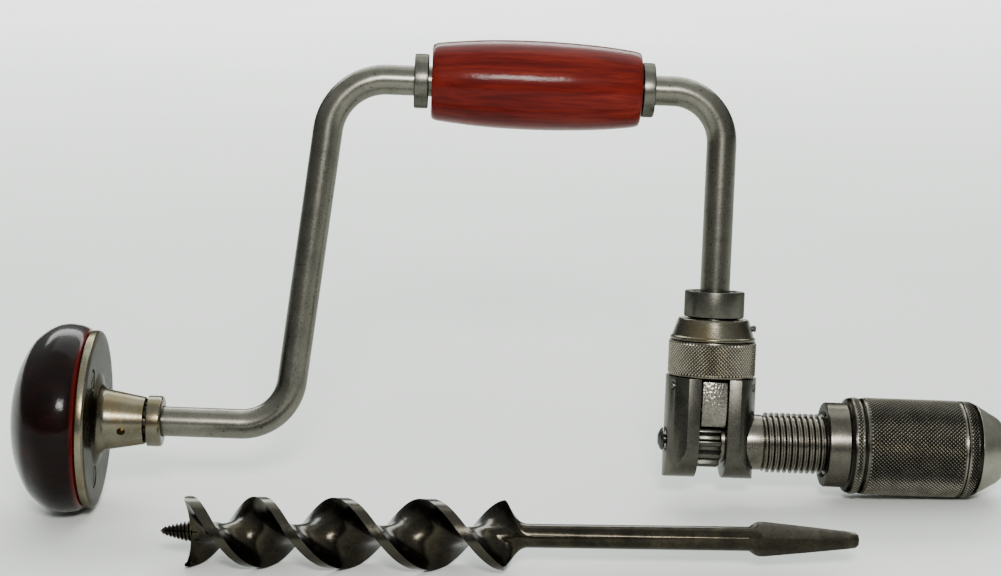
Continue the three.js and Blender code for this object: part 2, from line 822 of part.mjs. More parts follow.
function makeJaw(side) {
  const coneGap = 0.5;
  const rearHeight = 12.6;
  const slopeFrom = NOSE_CONE_FROM + (NOSE_BORE_R - coneGap - rearHeight) / CONE_SLOPE;
  const blank = plateAlong(outline([
    [JAW_BACK, JAW_GAP],
    [JAW_FRONT, JAW_GAP],
    [JAW_FRONT, 14],
    [386, 14],
    [JAW_BACK, 9],
  ]), JAW_HALF_THICKNESS);
  const envelope = turned([
    [JAW_BACK - 1, 0],
    [JAW_BACK - 1, rearHeight],
    [slopeFrom, rearHeight],
    [JAW_FRONT + 1, innerCone(JAW_FRONT + 1) - coneGap],
    [JAW_FRONT + 1, 0],
  ], ROUND_BIG);
  const jaw = intersect(blank, envelope);
  return side > 0 ? jaw : jaw.rotateX(Math.PI);
}

function makeJawSpring() {
  const path = new BentPath(
    [[385, 0, 3.6], [374, 0, 3.6], [374, 0, -3.6], [385, 0, -3.6]],
    [3.4, 3.4],
    5,
  );
  return wire(path, 0.6, path.stations.length - 1, 6);
}

addToBrace('chuck_shell', makeShell(), 'dark_steel');
addToBrace('chuck_nose', makeNose(), 'dark_steel');
addToBrace('jaw_upper', makeJaw(1), 'dark_steel');
addToBrace('jaw_lower', makeJaw(-1), 'dark_steel');
addToBrace('jaw_spring', makeJawSpring(), 'spring_steel');
addBallRing('chuck_ball', CHUCK_BALLS, CHUCK_BALL_R, RACE_CIRCLE, RACE_X);

// ---------------------------------------------------------------- auger bit

// A flat bar twisted about x
function makeTwist(from, to) {
  const rim = Math.sqrt(BIT_R ** 2 - BIT_RIM_HALF ** 2);
  const half = [[rim, -BIT_RIM_HALF], [rim, BIT_RIM_HALF], [7, 2.8], [-7, 2.8]];
  const section = [...half, ...half.map(([a, b]) => [-a, -b])];
  const steps = Math.round(((to - from) / BIT_TURN) * 20);
  const positions = [];
  for (let i = 0; i <= steps; i++) {
    const x = from + ((to - from) * i) / steps;
    const angle = (2 * Math.PI * (x - BIT_EDGE_FRONT)) / BIT_TURN;
    for (const [a, b] of section) {
      positions.push(x, a * Math.cos(angle) - b * Math.sin(angle), a * Math.sin(angle) + b * Math.cos(angle));
    }
  }
  const count = section.length;
  const index = [];
  for (let i = 0; i < steps; i++) {
    for (let j = 0; j < count; j++) {
      const here = i * count + j;
      const beside = i * count + ((j + 1) % count);
      index.push(here, beside, beside + count, here, beside + count, here + count);
    }
  }
  const last = steps * count;
  for (let j = 1; j < count - 1; j++) {
    index.push(0, j + 1, j);
    index.push(last, last + j, last + j + 1);
  }
  const geometry = new THREE.BufferGeometry();
  geometry.setAttribute('position', new THREE.Float32BufferAttribute(positions, 3));
  geometry.setIndex(index);
  return geometry;
}

function makeBit() {
  const round = turned([
    [0, 0],
    [0.2, 0.7],
    [BIT_SCREW_LENGTH, 4.2],
    [BIT_SCREW_LENGTH + 8, 4.2],
    [BIT_TWIST_TO - 4, 4.2],
    [BIT_TWIST_TO - 2, 12.5],
    [BIT_TWIST_TO + 1, 11],
    [BIT_SHANK_FROM - 2, 5.8],
    [BIT_SHANK_FROM + 1, BIT_SHANK_R],
    [BIT_TANG_FROM + 3, BIT_SHANK_R],
    [BIT_TANG_FROM + 3, 0],
  ], ROUND_SMALL);
  // Square tang: wide shoulders, then a long taper
  const tang = turned([
    [BIT_TANG_FROM, 0],
    [BIT_TANG_FROM, 4.8],
    [BIT_TANG_FROM + 6, 7.4],
    [BIT_LENGTH - 2, 3.4],
    [BIT_LENGTH, 2],
    [BIT_LENGTH, 0],
  ], 4).rotateX(THREE.MathUtils.degToRad(BIT_TANG_TURN));
  return join(makeTwist(BIT_SCREW_LENGTH + 1, BIT_TWIST_TO), round, tang);
}

addPiece(bitPlace, 'auger_bit', makeBit(), 'bit_steel');

// ---------------------------------------------------------------- stance

brace.rotation.x = THREE.MathUtils.degToRad(-LEAN);
stance.rotation.y = DROP;
bitPlace.rotation.z = THREE.MathUtils.degToRad(BIT_YAW);
bitPlace.position.set(BIT_TIP[0], BIT_TIP[1], 0);

// Both things stand on z = 0, and the origin is the middle of the footprint
for (const placed of [stance, bitPlace]) {
  placed.position.z -= new THREE.Box3().setFromObject(placed, true).min.z;
}
const middle = new THREE.Box3().setFromObject(footprint, true).getCenter(new THREE.Vector3());
footprint.position.set(-middle.x, -middle.y, 0);
group.updateMatrixWorld(true);

export default group;
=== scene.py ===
"""Looks of the ratchet brace and its loose auger bit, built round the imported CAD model.

Pieces are modelled in millimetres about their own axis (axial, across, across) and then placed in
the row frame. Each keeps those millimetres in a "local" attribute, which its material reads.
"""

import json
import math

import bmesh
import bpy
from mathutils import Matrix, Vector


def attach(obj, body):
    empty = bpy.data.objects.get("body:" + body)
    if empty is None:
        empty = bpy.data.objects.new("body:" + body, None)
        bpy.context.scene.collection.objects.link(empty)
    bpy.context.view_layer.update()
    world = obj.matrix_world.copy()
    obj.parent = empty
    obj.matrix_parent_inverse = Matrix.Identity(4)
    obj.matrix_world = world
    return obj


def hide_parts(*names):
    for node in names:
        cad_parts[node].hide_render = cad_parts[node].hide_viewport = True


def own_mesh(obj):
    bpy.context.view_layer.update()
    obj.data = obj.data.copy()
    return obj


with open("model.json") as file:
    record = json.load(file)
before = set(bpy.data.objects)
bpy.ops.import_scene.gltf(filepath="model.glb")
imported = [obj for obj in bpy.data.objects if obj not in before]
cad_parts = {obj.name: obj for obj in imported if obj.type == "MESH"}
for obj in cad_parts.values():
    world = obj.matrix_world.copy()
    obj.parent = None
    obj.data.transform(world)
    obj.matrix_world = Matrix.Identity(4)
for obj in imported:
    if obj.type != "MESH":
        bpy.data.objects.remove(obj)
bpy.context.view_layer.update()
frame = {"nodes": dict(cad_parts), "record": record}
joints = {joint["name"]: joint for joint in frame["record"]["behaviour"]["joints"]}

# ---------------------------------------------------------------- dimensions, millimetres

MM = 0.001
GAP = 0.3  # clearance between neighbours

THROW = 152.4
ROD_R = 6.5
ARM_X = 281.3
LEFT_ARM_FOOT = 95.7
LEFT_ARM_TOP = 112.1
ROD_END_Z = 47.2
BENDS = (22.0, 25.4, 22.0)  # radii of the crank's three bends

PLATE_BACK = 10.2
PLATE_FRONT = 14.2
HUB_END = 34.5
HEAD_SCREW_CIRCLE = 25.5
HEAD_SCREW_START = 43.0
OIL_HOLE_X = 25.6
OIL_HOLE_BELOW = 18.0

FORK_R = 19.8
FORK_HALF_DEPTH = 16.2
FORK_TOP = 28.6
STEM_R = 11.2
PAWL_PIN_Y = 8.5
PAWL_PIN_Z = 24.6
PAWL_BORE_R = 1.7
SELECTOR_BORE = 11.55

THREAD_FROM = 304.4
THREAD_TO = 360.0
THREAD_R = 13.2
THREAD_PITCH = 2.54

SHELL_R = 21.4
NOSE_BORE_R = 16.0
NOSE_CONE_FROM = 398.6
NOSE_MOUTH_R = 9.3
CONE_SLOPE = math.tan(math.radians(30))

BIT_TIP = Vector((-0.144299, -0.044414, 0.014300))
BIT_YAW = -4.55
BIT_LENGTH = 281.0
BIT_R = 14.25
BIT_SHANK_R = 4.85

# ---------------------------------------------------------------- placing

head_joint = joints["head_spin"]
along = Vector(head_joint["axis"]).normalized()
upward = Vector(joints["selector_turn"]["axis"])
upward = (upward - along * upward.dot(along)).normalized()
backward = upward.cross(along)
BRACE = Matrix((
    (along.x, backward.x, upward.x, head_joint["pos_m"][0]),
    (along.y, backward.y, upward.y, head_joint["pos_m"][1]),
    (along.z, backward.z, upward.z, head_joint["pos_m"][2]),
    (0, 0, 0, 1),
)) @ Matrix.Scale(MM, 4)
GRIP = BRACE @ Matrix.Translation((0, 0, THROW))
# axial is up the right arm, the first cross axis is to the back, the second to the head
TO_ARM = Matrix(((0, 0, -1, ARM_X), (0, 1, 0, 0), (1, 0, 0, 0), (0, 0, 0, 1)))
ARM = BRACE @ TO_ARM
BIT = Matrix.Translation(BIT_TIP) @ Matrix.Rotation(math.radians(BIT_YAW), 4, "Z") @ Matrix.Scale(MM, 4)


# ---------------------------------------------------------------- material nodes

class Shader:
    """A material's node tree, with short calls for the nodes used here."""

    def __init__(self, name):
        self.material = bpy.data.materials.new(name)
        self.material.use_nodes = True
        self.tree = self.material.node_tree
        self.bsdf = self.tree.nodes["Principled BSDF"]

    def node(self, kind, inputs=(), **settings):
        made = self.tree.nodes.new(kind)
        for key, value in settings.items():
            setattr(made, key, value)
        for key, value in dict(inputs).items():
            self.put(made.inputs[key], value)
        return made

    def put(self, socket, value):
        if isinstance(value, bpy.types.NodeSocket):
            self.tree.links.new(value, socket)
        else:
            socket.default_value = value

    def coords(self, from_cad):
        """The piece's own millimetres. A CAD node has none, so it takes the row frame's."""
        if from_cad:
            place = self.node("ShaderNodeTexCoord").outputs["Object"]
            return self.stretch(place, (1 / MM, 1 / MM, 1 / MM))
        return self.node("ShaderNodeAttribute", attribute_name="local").outputs["Vector"]

    def stretch(self, vector, factors):
        return self.node("ShaderNodeVectorMath", {0: vector, 1: factors}, operation="MULTIPLY").outputs[0]

    def noise(self, vector, scale, detail=4.0, roughness=0.55, distortion=0.0):
        made = self.node("ShaderNodeTexNoise", {
            "Vector": vector, "Scale": scale, "Detail": detail,
            "Roughness": roughness, "Distortion": distortion,
        })
        return made.outputs["Fac"]

    def ramp(self, fac, stops):
        made = self.node("ShaderNodeValToRGB", {"Fac": fac})
        elements = made.color_ramp.elements
        while len(elements) < len(stops):
            elements.new(0.5)
        for element, (position, color) in zip(elements, stops):
            element.position = position
            element.color = (*color, 1.0) if len(color) == 3 else color
        return made.outputs["Color"]

    def span(self, value, start, end, low=0.0, high=1.0):
        """value's start to end mapped to low to high"""
        made = self.node("ShaderNodeMapRange", {
            "Value": value, "From Min": start, "From Max": end, "To Min": low, "To Max": high,
        })
        return made.outputs["Result"]

    def level(self, noise, low, high):
        """Noise, nearly all of it between 0.3 and 0.7, mapped to low to high"""
        return self.span(noise, 0.3, 0.7, low, high)

    def mix(self, fac, first, second, blend="MIX"):
        made = self.node("ShaderNodeMix", data_type="RGBA", blend_type=blend)
        self.put(made.inputs[0], fac)
        self.put(made.inputs[6], first)
        self.put(made.inputs[7], second)
        return made.outputs[2]

    def math(self, operation, first, second=0.0):
        return self.node("ShaderNodeMath", {0: first, 1: second}, operation=operation).outputs[0]

    def weighted(self, first, share, second):
        """That share of the first and the rest of the second"""
        rest = self.math("MULTIPLY", second, 1 - share)
        return self.math("ADD", self.math("MULTIPLY", first, share), rest)

    def off_axis(self, place):
        """How far a point lies from the piece's own axis"""
        across = self.stretch(place, (0.0, 1.0, 1.0))
        return self.node("ShaderNodeVectorMath", {0: across}, operation="LENGTH").outputs["Value"]

    def bump(self, height, strength, distance, normal=None):
        inputs = {"Height": height, "Strength": strength, "Distance": distance}
        if normal is not None:
            inputs["Normal"] = normal
        return self.node("ShaderNodeBump", inputs).outputs["Normal"]

    def surface(self, **inputs):
        for key, value in inputs.items():
            self.put(self.bsdf.inputs[key.replace("_", " ")], value)
        return self.material


def grey(value, warm=1.0, cool=1.0):
    """A grey colour, its red and its blue multiplied by warm and cool"""
    return (value * warm, value, value * cool)


def make_steel(name, dark, light, rough, turned=1.0, from_cad=False, pits=0.0, patina=None, hammered=0.0,
               by_radius=None, grazing=0.7):
    """Old machined steel with turning marks round the axis, blotches and fine scratches along it.

    patina is a second colour in patches, pits is how dark the pits are, hammered is the depth of dents.
    by_radius lists (distance from the axis, factor) pairs that the colour is multiplied by.
    """
    s = Shader(name)
    place = s.coords(from_cad)
    blotch = s.noise(place, 0.11, 5.0, 0.6, 0.4)
    fine = s.noise(place, 1.3, 4.0, 0.6)
    color = s.ramp(s.weighted(blotch, 0.7, fine), [
        (0.30, dark),
        (0.68, light),
    ])
    if patina is not None:
        where = s.ramp(s.noise(place, 0.07, 3.0, 0.5, 0.8), [
            (0.47, (0, 0, 0)),
            (0.62, (1, 1, 1)),
        ])
        color = s.mix(s.math("MULTIPLY", where, 0.75), color, (*patina, 1.0))
    if by_radius is not None:
        inner, outer = by_radius[0][0], by_radius[-1][0]
        spread = s.span(s.off_axis(place), inner, outer)
        stops = [((r - inner) / (outer - inner), grey(tone, 1.02, 0.97)) for r, tone in by_radius]
        color = s.mix(1.0, color, s.ramp(spread, stops), "MULTIPLY")
    marks = s.noise(s.stretch(place, (7.0, 0.16, 0.16)), 1.0, 3.0, 0.7)
    scratches = s.noise(s.stretch(place, (0.25, 5.0, 5.0)), 1.0, 2.0, 0.6)
    rough_map = s.level(s.weighted(fine, 0.6, marks), *rough)
    normal = s.bump(marks, 0.22 * turned, 0.00012)
    normal = s.bump(scratches, 0.06, 0.00008, normal)
    if hammered:
        dents = s.node("ShaderNodeTexVoronoi", {
            "Vector": place, "Scale": 1.1, "Randomness": 0.9,
        }, feature="SMOOTH_F1")
        normal = s.bump(dents.outputs["Distance"], hammered, 0.0005, normal)
    if pits:
        holes = s.node("ShaderNodeTexVoronoi", {"Vector": place, "Scale": 0.22, "Randomness": 1.0})
        clear = s.ramp(holes.outputs["Distance"], [(0.0, (0, 0, 0)), (0.09, (0, 0, 0)), (0.14, (1, 1, 1))])
        pitted = s.math("MULTIPLY", s.math("SUBTRACT", 1.0, clear), pits)
        color = s.mix(pitted, color, (0.02, 0.016, 0.012, 1))
    return s.surface(
        Base_Color=color, Metallic=1.0, Roughness=rough_map, Normal=normal, Specular_Tint=(*grey(grazing), 1),
    )


def make_lacquer(name, stops, streak, coat_rough, across, coat_ior, edge=None, weight=0.8):
    """Stained wood under glossy lacquer: long grain streaks, pores, a clear coat with slight waves.

    streak is how often the grain repeats along and across the axis, and across the size of the waves.
    """
    s = Shader(name)
    place = s.coords(False)
    grain = s.noise(s.stretch(place, streak), 1.0, 6.0, 0.62, 0.35)
    broad = s.noise(s.stretch(place, (streak[0] * 0.5, streak[1] * 0.35, streak[2] * 0.35)), 1.0, 2.0, 0.5)
    color = s.ramp(s.weighted(grain, 0.62, broad), stops)
    if edge is not None:
        worn_from, worn_to, worn_color = edge
        axial = s.node("ShaderNodeSeparateXYZ", {0: place}).outputs["X"]
        color = s.mix(s.span(axial, worn_from, worn_to), color, (*worn_color, 1))
    pores = s.noise(s.stretch(place, (streak[0] * 2.2, streak[1] * 3.4, streak[2] * 3.4)), 1.0, 3.0, 0.7)
    normal = s.bump(pores, 0.10, 0.00012)
    waves = s.bump(s.noise(place, across, 2.0, 0.5), 0.25, 0.0008)
    waves = s.bump(s.noise(place, 0.9, 3.0, 0.6), 0.16, 0.00025, waves)
    rough_map = s.level(s.noise(place, 0.4, 3.0), 0.32, 0.46)
    s.put(s.bsdf.inputs["Coat Normal"], waves)
    return s.surface(
        Base_Color=color, Roughness=rough_map, Normal=normal, Specular_IOR_Level=0.02,
        Coat_Weight=weight, Coat_Roughness=coat_rough, Coat_IOR=coat_ior,
    )


def make_bit_steel(name):
    """Dark brown oxide with bronze patches, worn to grey steel along the twist's outer edges."""
    s = Shader(name)
    place = s.coords(False)
    blotch = s.noise(place, 0.10, 5.0, 0.62, 0.6)
    fine = s.noise(place, 0.9, 5.0, 0.65)
    color = s.ramp(s.weighted(blotch, 0.65, fine), [
        (0.36, (0.012, 0.011, 0.009)),
        (0.55, (0.030, 0.026, 0.019)),
        (0.74, (0.060, 0.050, 0.031)),
    ])
    worn = s.span(s.math("ADD", s.off_axis(place), s.math("MULTIPLY", fine, 0.5)), 13.9, 14.6, 0.0, 0.8)
    color = s.mix(worn, color, (0.050, 0.046, 0.037, 1))
    rough_map = s.level(fine, 0.16, 0.28)
    normal = s.bump(fine, 0.10, 0.0003)
    normal = s.bump(s.noise(s.stretch(place, (0.35, 3.0, 3.0)), 1.0, 3.0, 0.6), 0.08, 0.0001, normal)
    return s.surface(Base_Color=color, Metallic=1.0, Roughness=rough_map, Normal=normal)


MATERIALS = {
    "rod": make_steel(
        "rod_steel", (0.098, 0.094, 0.078), (0.160, 0.153, 0.128), (0.24, 0.34), 0.35, pits=0.5,
    ),
    "satin": make_steel(
        "satin_steel", (0.058, 0.056, 0.047), (0.122, 0.118, 0.100), (0.24, 0.36), grazing=0.4,
    ),
    "fork": make_steel("fork_steel", (0.048, 0.047, 0.039), (0.108, 0.102, 0.086), (0.24, 0.34), 0.5),
    "hub": make_steel(
        "hub_steel", (0.086, 0.082, 0.062), (0.175, 0.162, 0.125), (0.20, 0.30),
        patina=(0.14, 0.110, 0.062), grazing=0.42,
        # by_radius: darker across the flange face, lighter at its rounded outer rim
        by_radius=[(13.0, 1.0), (17.0, 0.42), (37.4, 0.42), (38.2, 1.2)],
    ),
    "warm": make_steel(
        "warm_steel", (0.070, 0.064, 0.048), (0.155, 0.142, 0.108), (0.20, 0.30),
        patina=(0.115, 0.090, 0.048),
    ),
    "knurl": make_steel(
        "knurled_steel", (0.125, 0.115, 0.092), (0.27, 0.25, 0.205), (0.22, 0.32), 0.2,
        # by_radius darkens the ring's end faces and the knurl's grooves as painted shade, along with dirt in
        # the grooves, and lightens the peaks as worn polish with painted highlight
        by_radius=[(18.7, 0.10), (18.95, 0.9), (19.1, 1.9), (19.25, 3.2)],
    ),
    "sleeve": make_steel(
        "sleeve_steel", (0.082, 0.077, 0.066), (0.178, 0.168, 0.145), (0.22, 0.32), 0.2,
        # by_radius: darker on the plain rings below 19.9; the bead grooves and the knurls' roots darkened as
        # painted shade along with dirt; the knurls' peaks lightened as worn polish with painted highlight
        by_radius=[(19.9, 0.62), (20.4, 0.15), (20.85, 0.12), (21.0, 0.8), (21.2, 1.7), (21.4, 3.0)],
        grazing=0.4,
    ),
    "nose": make_steel("nose_steel", (0.16, 0.155, 0.128), (0.28, 0.27, 0.225), (0.30, 0.42), 0.4),
    "thread": make_steel("thread_steel", (0.072, 0.065, 0.055), (0.16, 0.145, 0.12), (0.20, 0.32), 0.4),
    "blued": make_steel("blued_steel", (0.03, 0.03, 0.03), (0.09, 0.088, 0.085), (0.22, 0.34), 0.5),
    "head": make_lacquer("head_lacquer", [
        (0.36, (0.0015, 0.0008, 0.0008)),
        (0.55, (0.0055, 0.0016, 0.0014)),
        (0.75, (0.020, 0.0035, 0.0025)),
    ], (0.035, 0.22, 0.22), 0.09, 0.045, 1.19, edge=(8.1, 9.4, (0.060, 0.0035, 0.0025))),
    "grip": make_lacquer("grip_lacquer", [
        (0.30, (0.030, 0.0020, 0.0016)),
        (0.46, (0.072, 0.0048, 0.0034)),
        (0.62, (0.118, 0.0098, 0.0055)),
        (0.80, (0.185, 0.025, 0.0105)),
    ], (0.030, 0.50, 0.50), 0.12, 0.09, 1.20, weight=0.62),
    "bit": make_bit_steel("bit_oxide"),
    "pawl": make_steel(
        "pawl_steel", (0.11, 0.10, 0.085), (0.26, 0.245, 0.21), (0.24, 0.34), 0.4, hammered=0.5,
    ),
    "cad_spring": make_steel(
        "spring_steel", (0.10, 0.10, 0.105), (0.26, 0.26, 0.27), (0.22, 0.34), 0.3, from_cad=True,
    ),
    "cad_dark": make_steel(
        "inner_steel", (0.06, 0.058, 0.052), (0.17, 0.165, 0.15), (0.30, 0.44), 0.4, from_cad=True,
    ),
    "cad_greased": make_steel(
        "greased_balls", (0.012, 0.010, 0.007), (0.04, 0.035, 0.026), (0.3, 0.4), 0.2, from_cad=True,
    ),
    "cad_bronze": make_steel(
        "bearing_bronze", (0.22, 0.12, 0.04), (0.48, 0.30, 0.12), (0.26, 0.4), 0.5, from_cad=True,
    ),
}


# ---------------------------------------------------------------- mesh helpers

def rounded(profile, steps=3):
    """Rounds a profile's corners: each entry is (axial, radius) or (axial, radius, corner radius)."""
    points = [Vector(entry[:2]) for entry in profile]
    radii = [entry[2] if len(entry) > 2 else 0.0 for entry in profile]
    result = []
    count = len(points)
    for i, (point, corner) in enumerate(zip(points, radii)):
        before, after = points[i - 1] - point, points[(i + 1) % count] - point
        if corner <= 0 or before.length < 1e-6 or after.length < 1e-6:
            result.append((point.x, point.y))
            continue
        angle = before.angle(after)
        reach = min(corner / math.tan(angle / 2), 0.45 * min(before.length, after.length))
        start = point + before.normalized() * reach
        end = point + after.normalized() * reach
        for step in range(steps + 1):
            t = step / steps
            spot = start.lerp(point, t).lerp(point.lerp(end, t), t)
            result.append((spot.x, spot.y))
    return result


def curved(points, steps=6):
    """A smooth profile through the points"""
    result = []
    for i in range(len(points) - 1):
        p0 = Vector(points[max(i - 1, 0)])
        p1, p2 = Vector(points[i]), Vector(points[i + 1])
        p3 = Vector(points[min(i + 2, len(points) - 1)])
        for step in range(steps):
            t = step / steps
            spot = 0.5 * ((2 * p1) + (p2 - p0) * t + (2 * p0 - 5 * p1 + 4 * p2 - p3) * t ** 2
                          + (3 * p1 - p0 - 3 * p2 + p3) * t ** 3)
            result.append((spot.x, max(spot.y, 0.0)))
    result.append(tuple(points[-1]))
    return result


KNURL_EDGE = 0.65  # how far a zone's rims are sunk, as a share of the knurl's depth
SAME = 1e-6
WELD = 0.01
FLAT_ENOUGH = math.radians(0.4)


def lathe_rows(profile, knurls):
    """(axial, radius of the even columns, radius of the odd ones, is knurled) for each ring"""
    rows = []
    for i, (axial, radius) in enumerate(profile):
        edge = radius
        # every profile point at a zone's start or end is sunk, an inner one too
        for start, end, depth, _ in knurls:
            if abs(axial - start) < SAME or abs(axial - end) < SAME:
                edge = radius - KNURL_EDGE * depth
        rows.append((axial, edge, edge, False))
        nxt = profile[(i + 1) % len(profile)]
        for start, end, depth, pitch in knurls:
            if abs(axial - start) < SAME and abs(nxt[0] - end) < SAME:
                count = max(2, round((end - start) / (pitch / 2)))
                for k in range(1, count):
                    t = k / count
                    outer = radius + (nxt[1] - radius) * t
                    low = outer - depth
                    pair = (outer, low) if k % 2 == 0 else (low, outer)
                    rows.append((start + (end - start) * t, *pair, True))
    return rows


def lathe(profile, segments=96, knurls=()):
    """A turned mesh about the axial direction. Rows inside a knurled zone (from, to, depth, pitch)
    are cut into pyramids by two crossing sets of grooves."""
    rows = lathe_rows(profile, knurls)
    mesh = bmesh.new()
    rings = []
    for axial, even, odd, _ in rows:
        if even < SAME:
            rings.append([mesh.verts.new((axial, 0, 0))])
            continue
        ring = []
        for i in range(segments):
            angle = 2 * math.pi * i / segments
            radius = even if i % 2 == 0 else odd
            ring.append(mesh.verts.new((axial, radius * math.cos(angle), radius * math.sin(angle))))
        rings.append(ring)
    on_axis = len(rings[0]) == 1 and len(rings[-1]) == 1
    last = len(rings) - 1 if on_axis else len(rings)
    for j in range(last):
        this, nxt = rings[j], rings[(j + 1) % len(rings)]
        row, after = rows[j], rows[(j + 1) % len(rows)]
        cut = row[3] or after[3]
        if len(this) == 1 and len(nxt) == 1:
            continue
        for i in range(segments):
            k = (i + 1) % segments
            if len(this) == 1:
                mesh.faces.new((this[0], nxt[i], nxt[k]))
            elif len(nxt) == 1:
                mesh.faces.new((this[i], nxt[0], this[k]))
            elif not cut:
                mesh.faces.new((this[i], nxt[i], nxt[k], this[k]))
            else:
                even_is_high = row[1] > row[2] if row[3] else after[1] < after[2]
                if even_is_high == (i % 2 == 0):
                    triangles = ((this[i], nxt[i], this[k]), (this[k], nxt[i], nxt[k]))
                else:
                    triangles = ((this[i], nxt[i], nxt[k]), (this[i], nxt[k], this[k]))
                for triangle in triangles:
                    mesh.faces.new(triangle)
    return mesh


def finish_mesh(mesh, sharp_angle):
    """Faces out, smooth shading, and hard edges where the surface turns sharply."""
    bmesh.ops.remove_doubles(mesh, verts=mesh.verts, dist=1e-5)
    bmesh.ops.recalc_face_normals(mesh, faces=mesh.faces)
    limit = math.radians(sharp_angle)
    for face in mesh.faces:
        face.smooth = True
    for edge in mesh.edges:
        if len(edge.link_faces) == 2 and edge.calc_face_angle(0.0) > limit:
            edge.smooth = False


def to_object(mesh, name="scratch"):
    data = bpy.data.meshes.new(name)
    mesh.to_mesh(data)
    mesh.free()
    made = bpy.data.objects.new(name, data)
    bpy.context.scene.collection.objects.link(made)
    return made


def add_piece(name, mesh, place, body, material, nodes, sharp_angle=32.0):
    """Puts a millimetre mesh in the row frame, riding on its CAD body and standing for its nodes."""
    finish_mesh(mesh, sharp_angle)
    piece = to_object(mesh, name)
    data = piece.data
    local = data.attributes.new("local", "FLOAT_VECTOR", "POINT")
    coordinates = [0.0] * (3 * len(data.vertices))
    data.vertices.foreach_get("co", coordinates)
    local.data.foreach_set("vector", coordinates)
    data.transform(place)
    if place.determinant() < 0:
        data.flip_normals()
    data.materials.append(MATERIALS[material])
    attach(piece, body)
    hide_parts(*nodes)
    return piece


def shaped(base, cutters=(), keep=(), joins=(), bevel=0.0, segments=2, angle=30.0):
    """base kept inside keep, joined with joins, cut by cutters, then its edges rounded. All bmeshes."""
    target = to_object(base)
    scratch = [target]
    for operation, tools in (("INTERSECT", keep), ("UNION", joins), ("DIFFERENCE", cutters)):
        for tool in tools:
            helper = to_object(tool)
            scratch.append(helper)
            modifier = target.modifiers.new(operation, "BOOLEAN")
            modifier.operation = operation
            modifier.object = helper
            modifier.solver = "EXACT"
    evaluated = target.evaluated_get(bpy.context.evaluated_depsgraph_get())
    result = bmesh.new()
    result.from_mesh(evaluated.to_mesh())
    evaluated.to_mesh_clear()
    if bevel:
        bmesh.ops.remove_doubles(result, verts=result.verts, dist=WELD)
        bmesh.ops.dissolve_limit(result, angle_limit=FLAT_ENOUGH, verts=result.verts, edges=result.edges)
        limit = math.radians(angle)
        hard = []
        for edge in result.edges:
            if len(edge.link_faces) == 2 and edge.calc_face_angle(0.0) > limit:
                hard.append(edge)
        # clamping would shrink every bevel to what the shortest edge allows
        bmesh.ops.bevel(
            result, geom=hard, offset=bevel, segments=segments, profile=0.5, affect="EDGES",
            clamp_overlap=False,
        )
    for helper in scratch:
        data = helper.data
        bpy.data.objects.remove(helper)
        bpy.data.meshes.remove(data)
    return result


def append_mesh(body, extra):
    """Adds a mesh to body as a shell of its own, without a boolean"""
    scratch = bpy.data.meshes.new("scratch")
    extra.to_mesh(scratch)
    extra.free()
    body.from_mesh(scratch)
    bpy.data.meshes.remove(scratch)


def skin_rings(mesh, rings):
    """Joins rings of equal size in order and caps both ends"""
    for this, nxt in zip(rings, rings[1:]):
        for i in range(len(this)):
            k = (i + 1) % len(this)
            mesh.faces.new((this[i], this[k], nxt[k], nxt[i]))
    mesh.faces.new(rings[0])
    mesh.faces.new(rings[-1])


def tilted(mesh, matrix):
    """The mesh itself, moved by the matrix"""
    bmesh.ops.transform(mesh, matrix=matrix, verts=mesh.verts)
    bmesh.ops.recalc_face_normals(mesh, faces=mesh.faces)
    return mesh


def rod(start, end, radius, segments=32, end_radius=None):
    """A capped round rod, or a cone, between two points"""
    start, end = Vector(start), Vector(end)
    length = (end - start).length
    last = radius if end_radius is None else end_radius
    mesh = lathe([(0, 0), (0, radius), (length, last), (length, 0)], segments)
    turn = Vector((1, 0, 0)).rotation_difference(end - start).to_matrix().to_4x4()
    return tilted(mesh, Matrix.Translation(start) @ turn)


def slab(low, high):
    """A box between two corners"""
    mesh = bmesh.new()
    bmesh.ops.create_cube(mesh, size=1.0)
    size = [b - a for a, b in zip(low, high)]
    middle = [(a + b) / 2 for a, b in zip(low, high)]
    return tilted(mesh, Matrix.Translation(middle) @ Matrix.Diagonal((*size, 1)))


def prism(outline, x0, x1):
    """An outline of (y, z) corners, extruded along x"""
    mesh = bmesh.new()
    near = [mesh.verts.new((x0, y, z)) for y, z in outline]
    far = [mesh.verts.new((x1, y, z)) for y, z in outline]
    mesh.faces.new(near)
    mesh.faces.new(far)
    for i in range(len(outline)):
        k = (i + 1) % len(outline)
        mesh.faces.new((near[i], near[k], far[k], far[i]))
    bmesh.ops.recalc_face_normals(mesh, faces=mesh.faces)
    return mesh


def arc_points(radius, start, end, steps):
    """Points of an arc about the origin, from start to end degrees"""
    points = []
    for step in range(steps + 1):
        angle = math.radians(start + (end - start) * step / steps)
        points.append((radius * math.cos(angle), radius * math.sin(angle)))
    return points


def bent_path(corners, radii, steps, spacing=6.0):
    """(point, direction) stations along straight runs joined by round bends"""
    corners = [Vector(corner) for corner in corners]
    stations = [(corners[0], (corners[1] - corners[0]).normalized())]
    for i in range(1, len(corners) - 1):
        arriving = (corners[i] - corners[i - 1]).normalized()
        leaving = (corners[i + 1] - corners[i]).normalized()
        angle = arriving.angle(leaving)
        axis = arriving.cross(leaving).normalized()
        start = corners[i] - arriving * radii[i - 1] * math.tan(angle / 2)
        centre = start + axis.cross(arriving) * radii[i - 1]
        for step in range(steps + 1):
            turn = Matrix.Rotation(angle * step / steps, 3, axis)
            stations.append((centre + turn @ (start - centre), turn @ arriving))
    stations.append((corners[-1], (corners[-1] - corners[-2]).normalized()))
    filled = [stations[0]]
    for station in stations[1:]:
        previous = filled[-1]
        run = (station[0] - previous[0]).length
        extra = int(run / spacing)
        for k in range(1, extra):
            filled.append((previous[0].lerp(station[0], k / extra), station[1]))
        filled.append(station)
    return filled


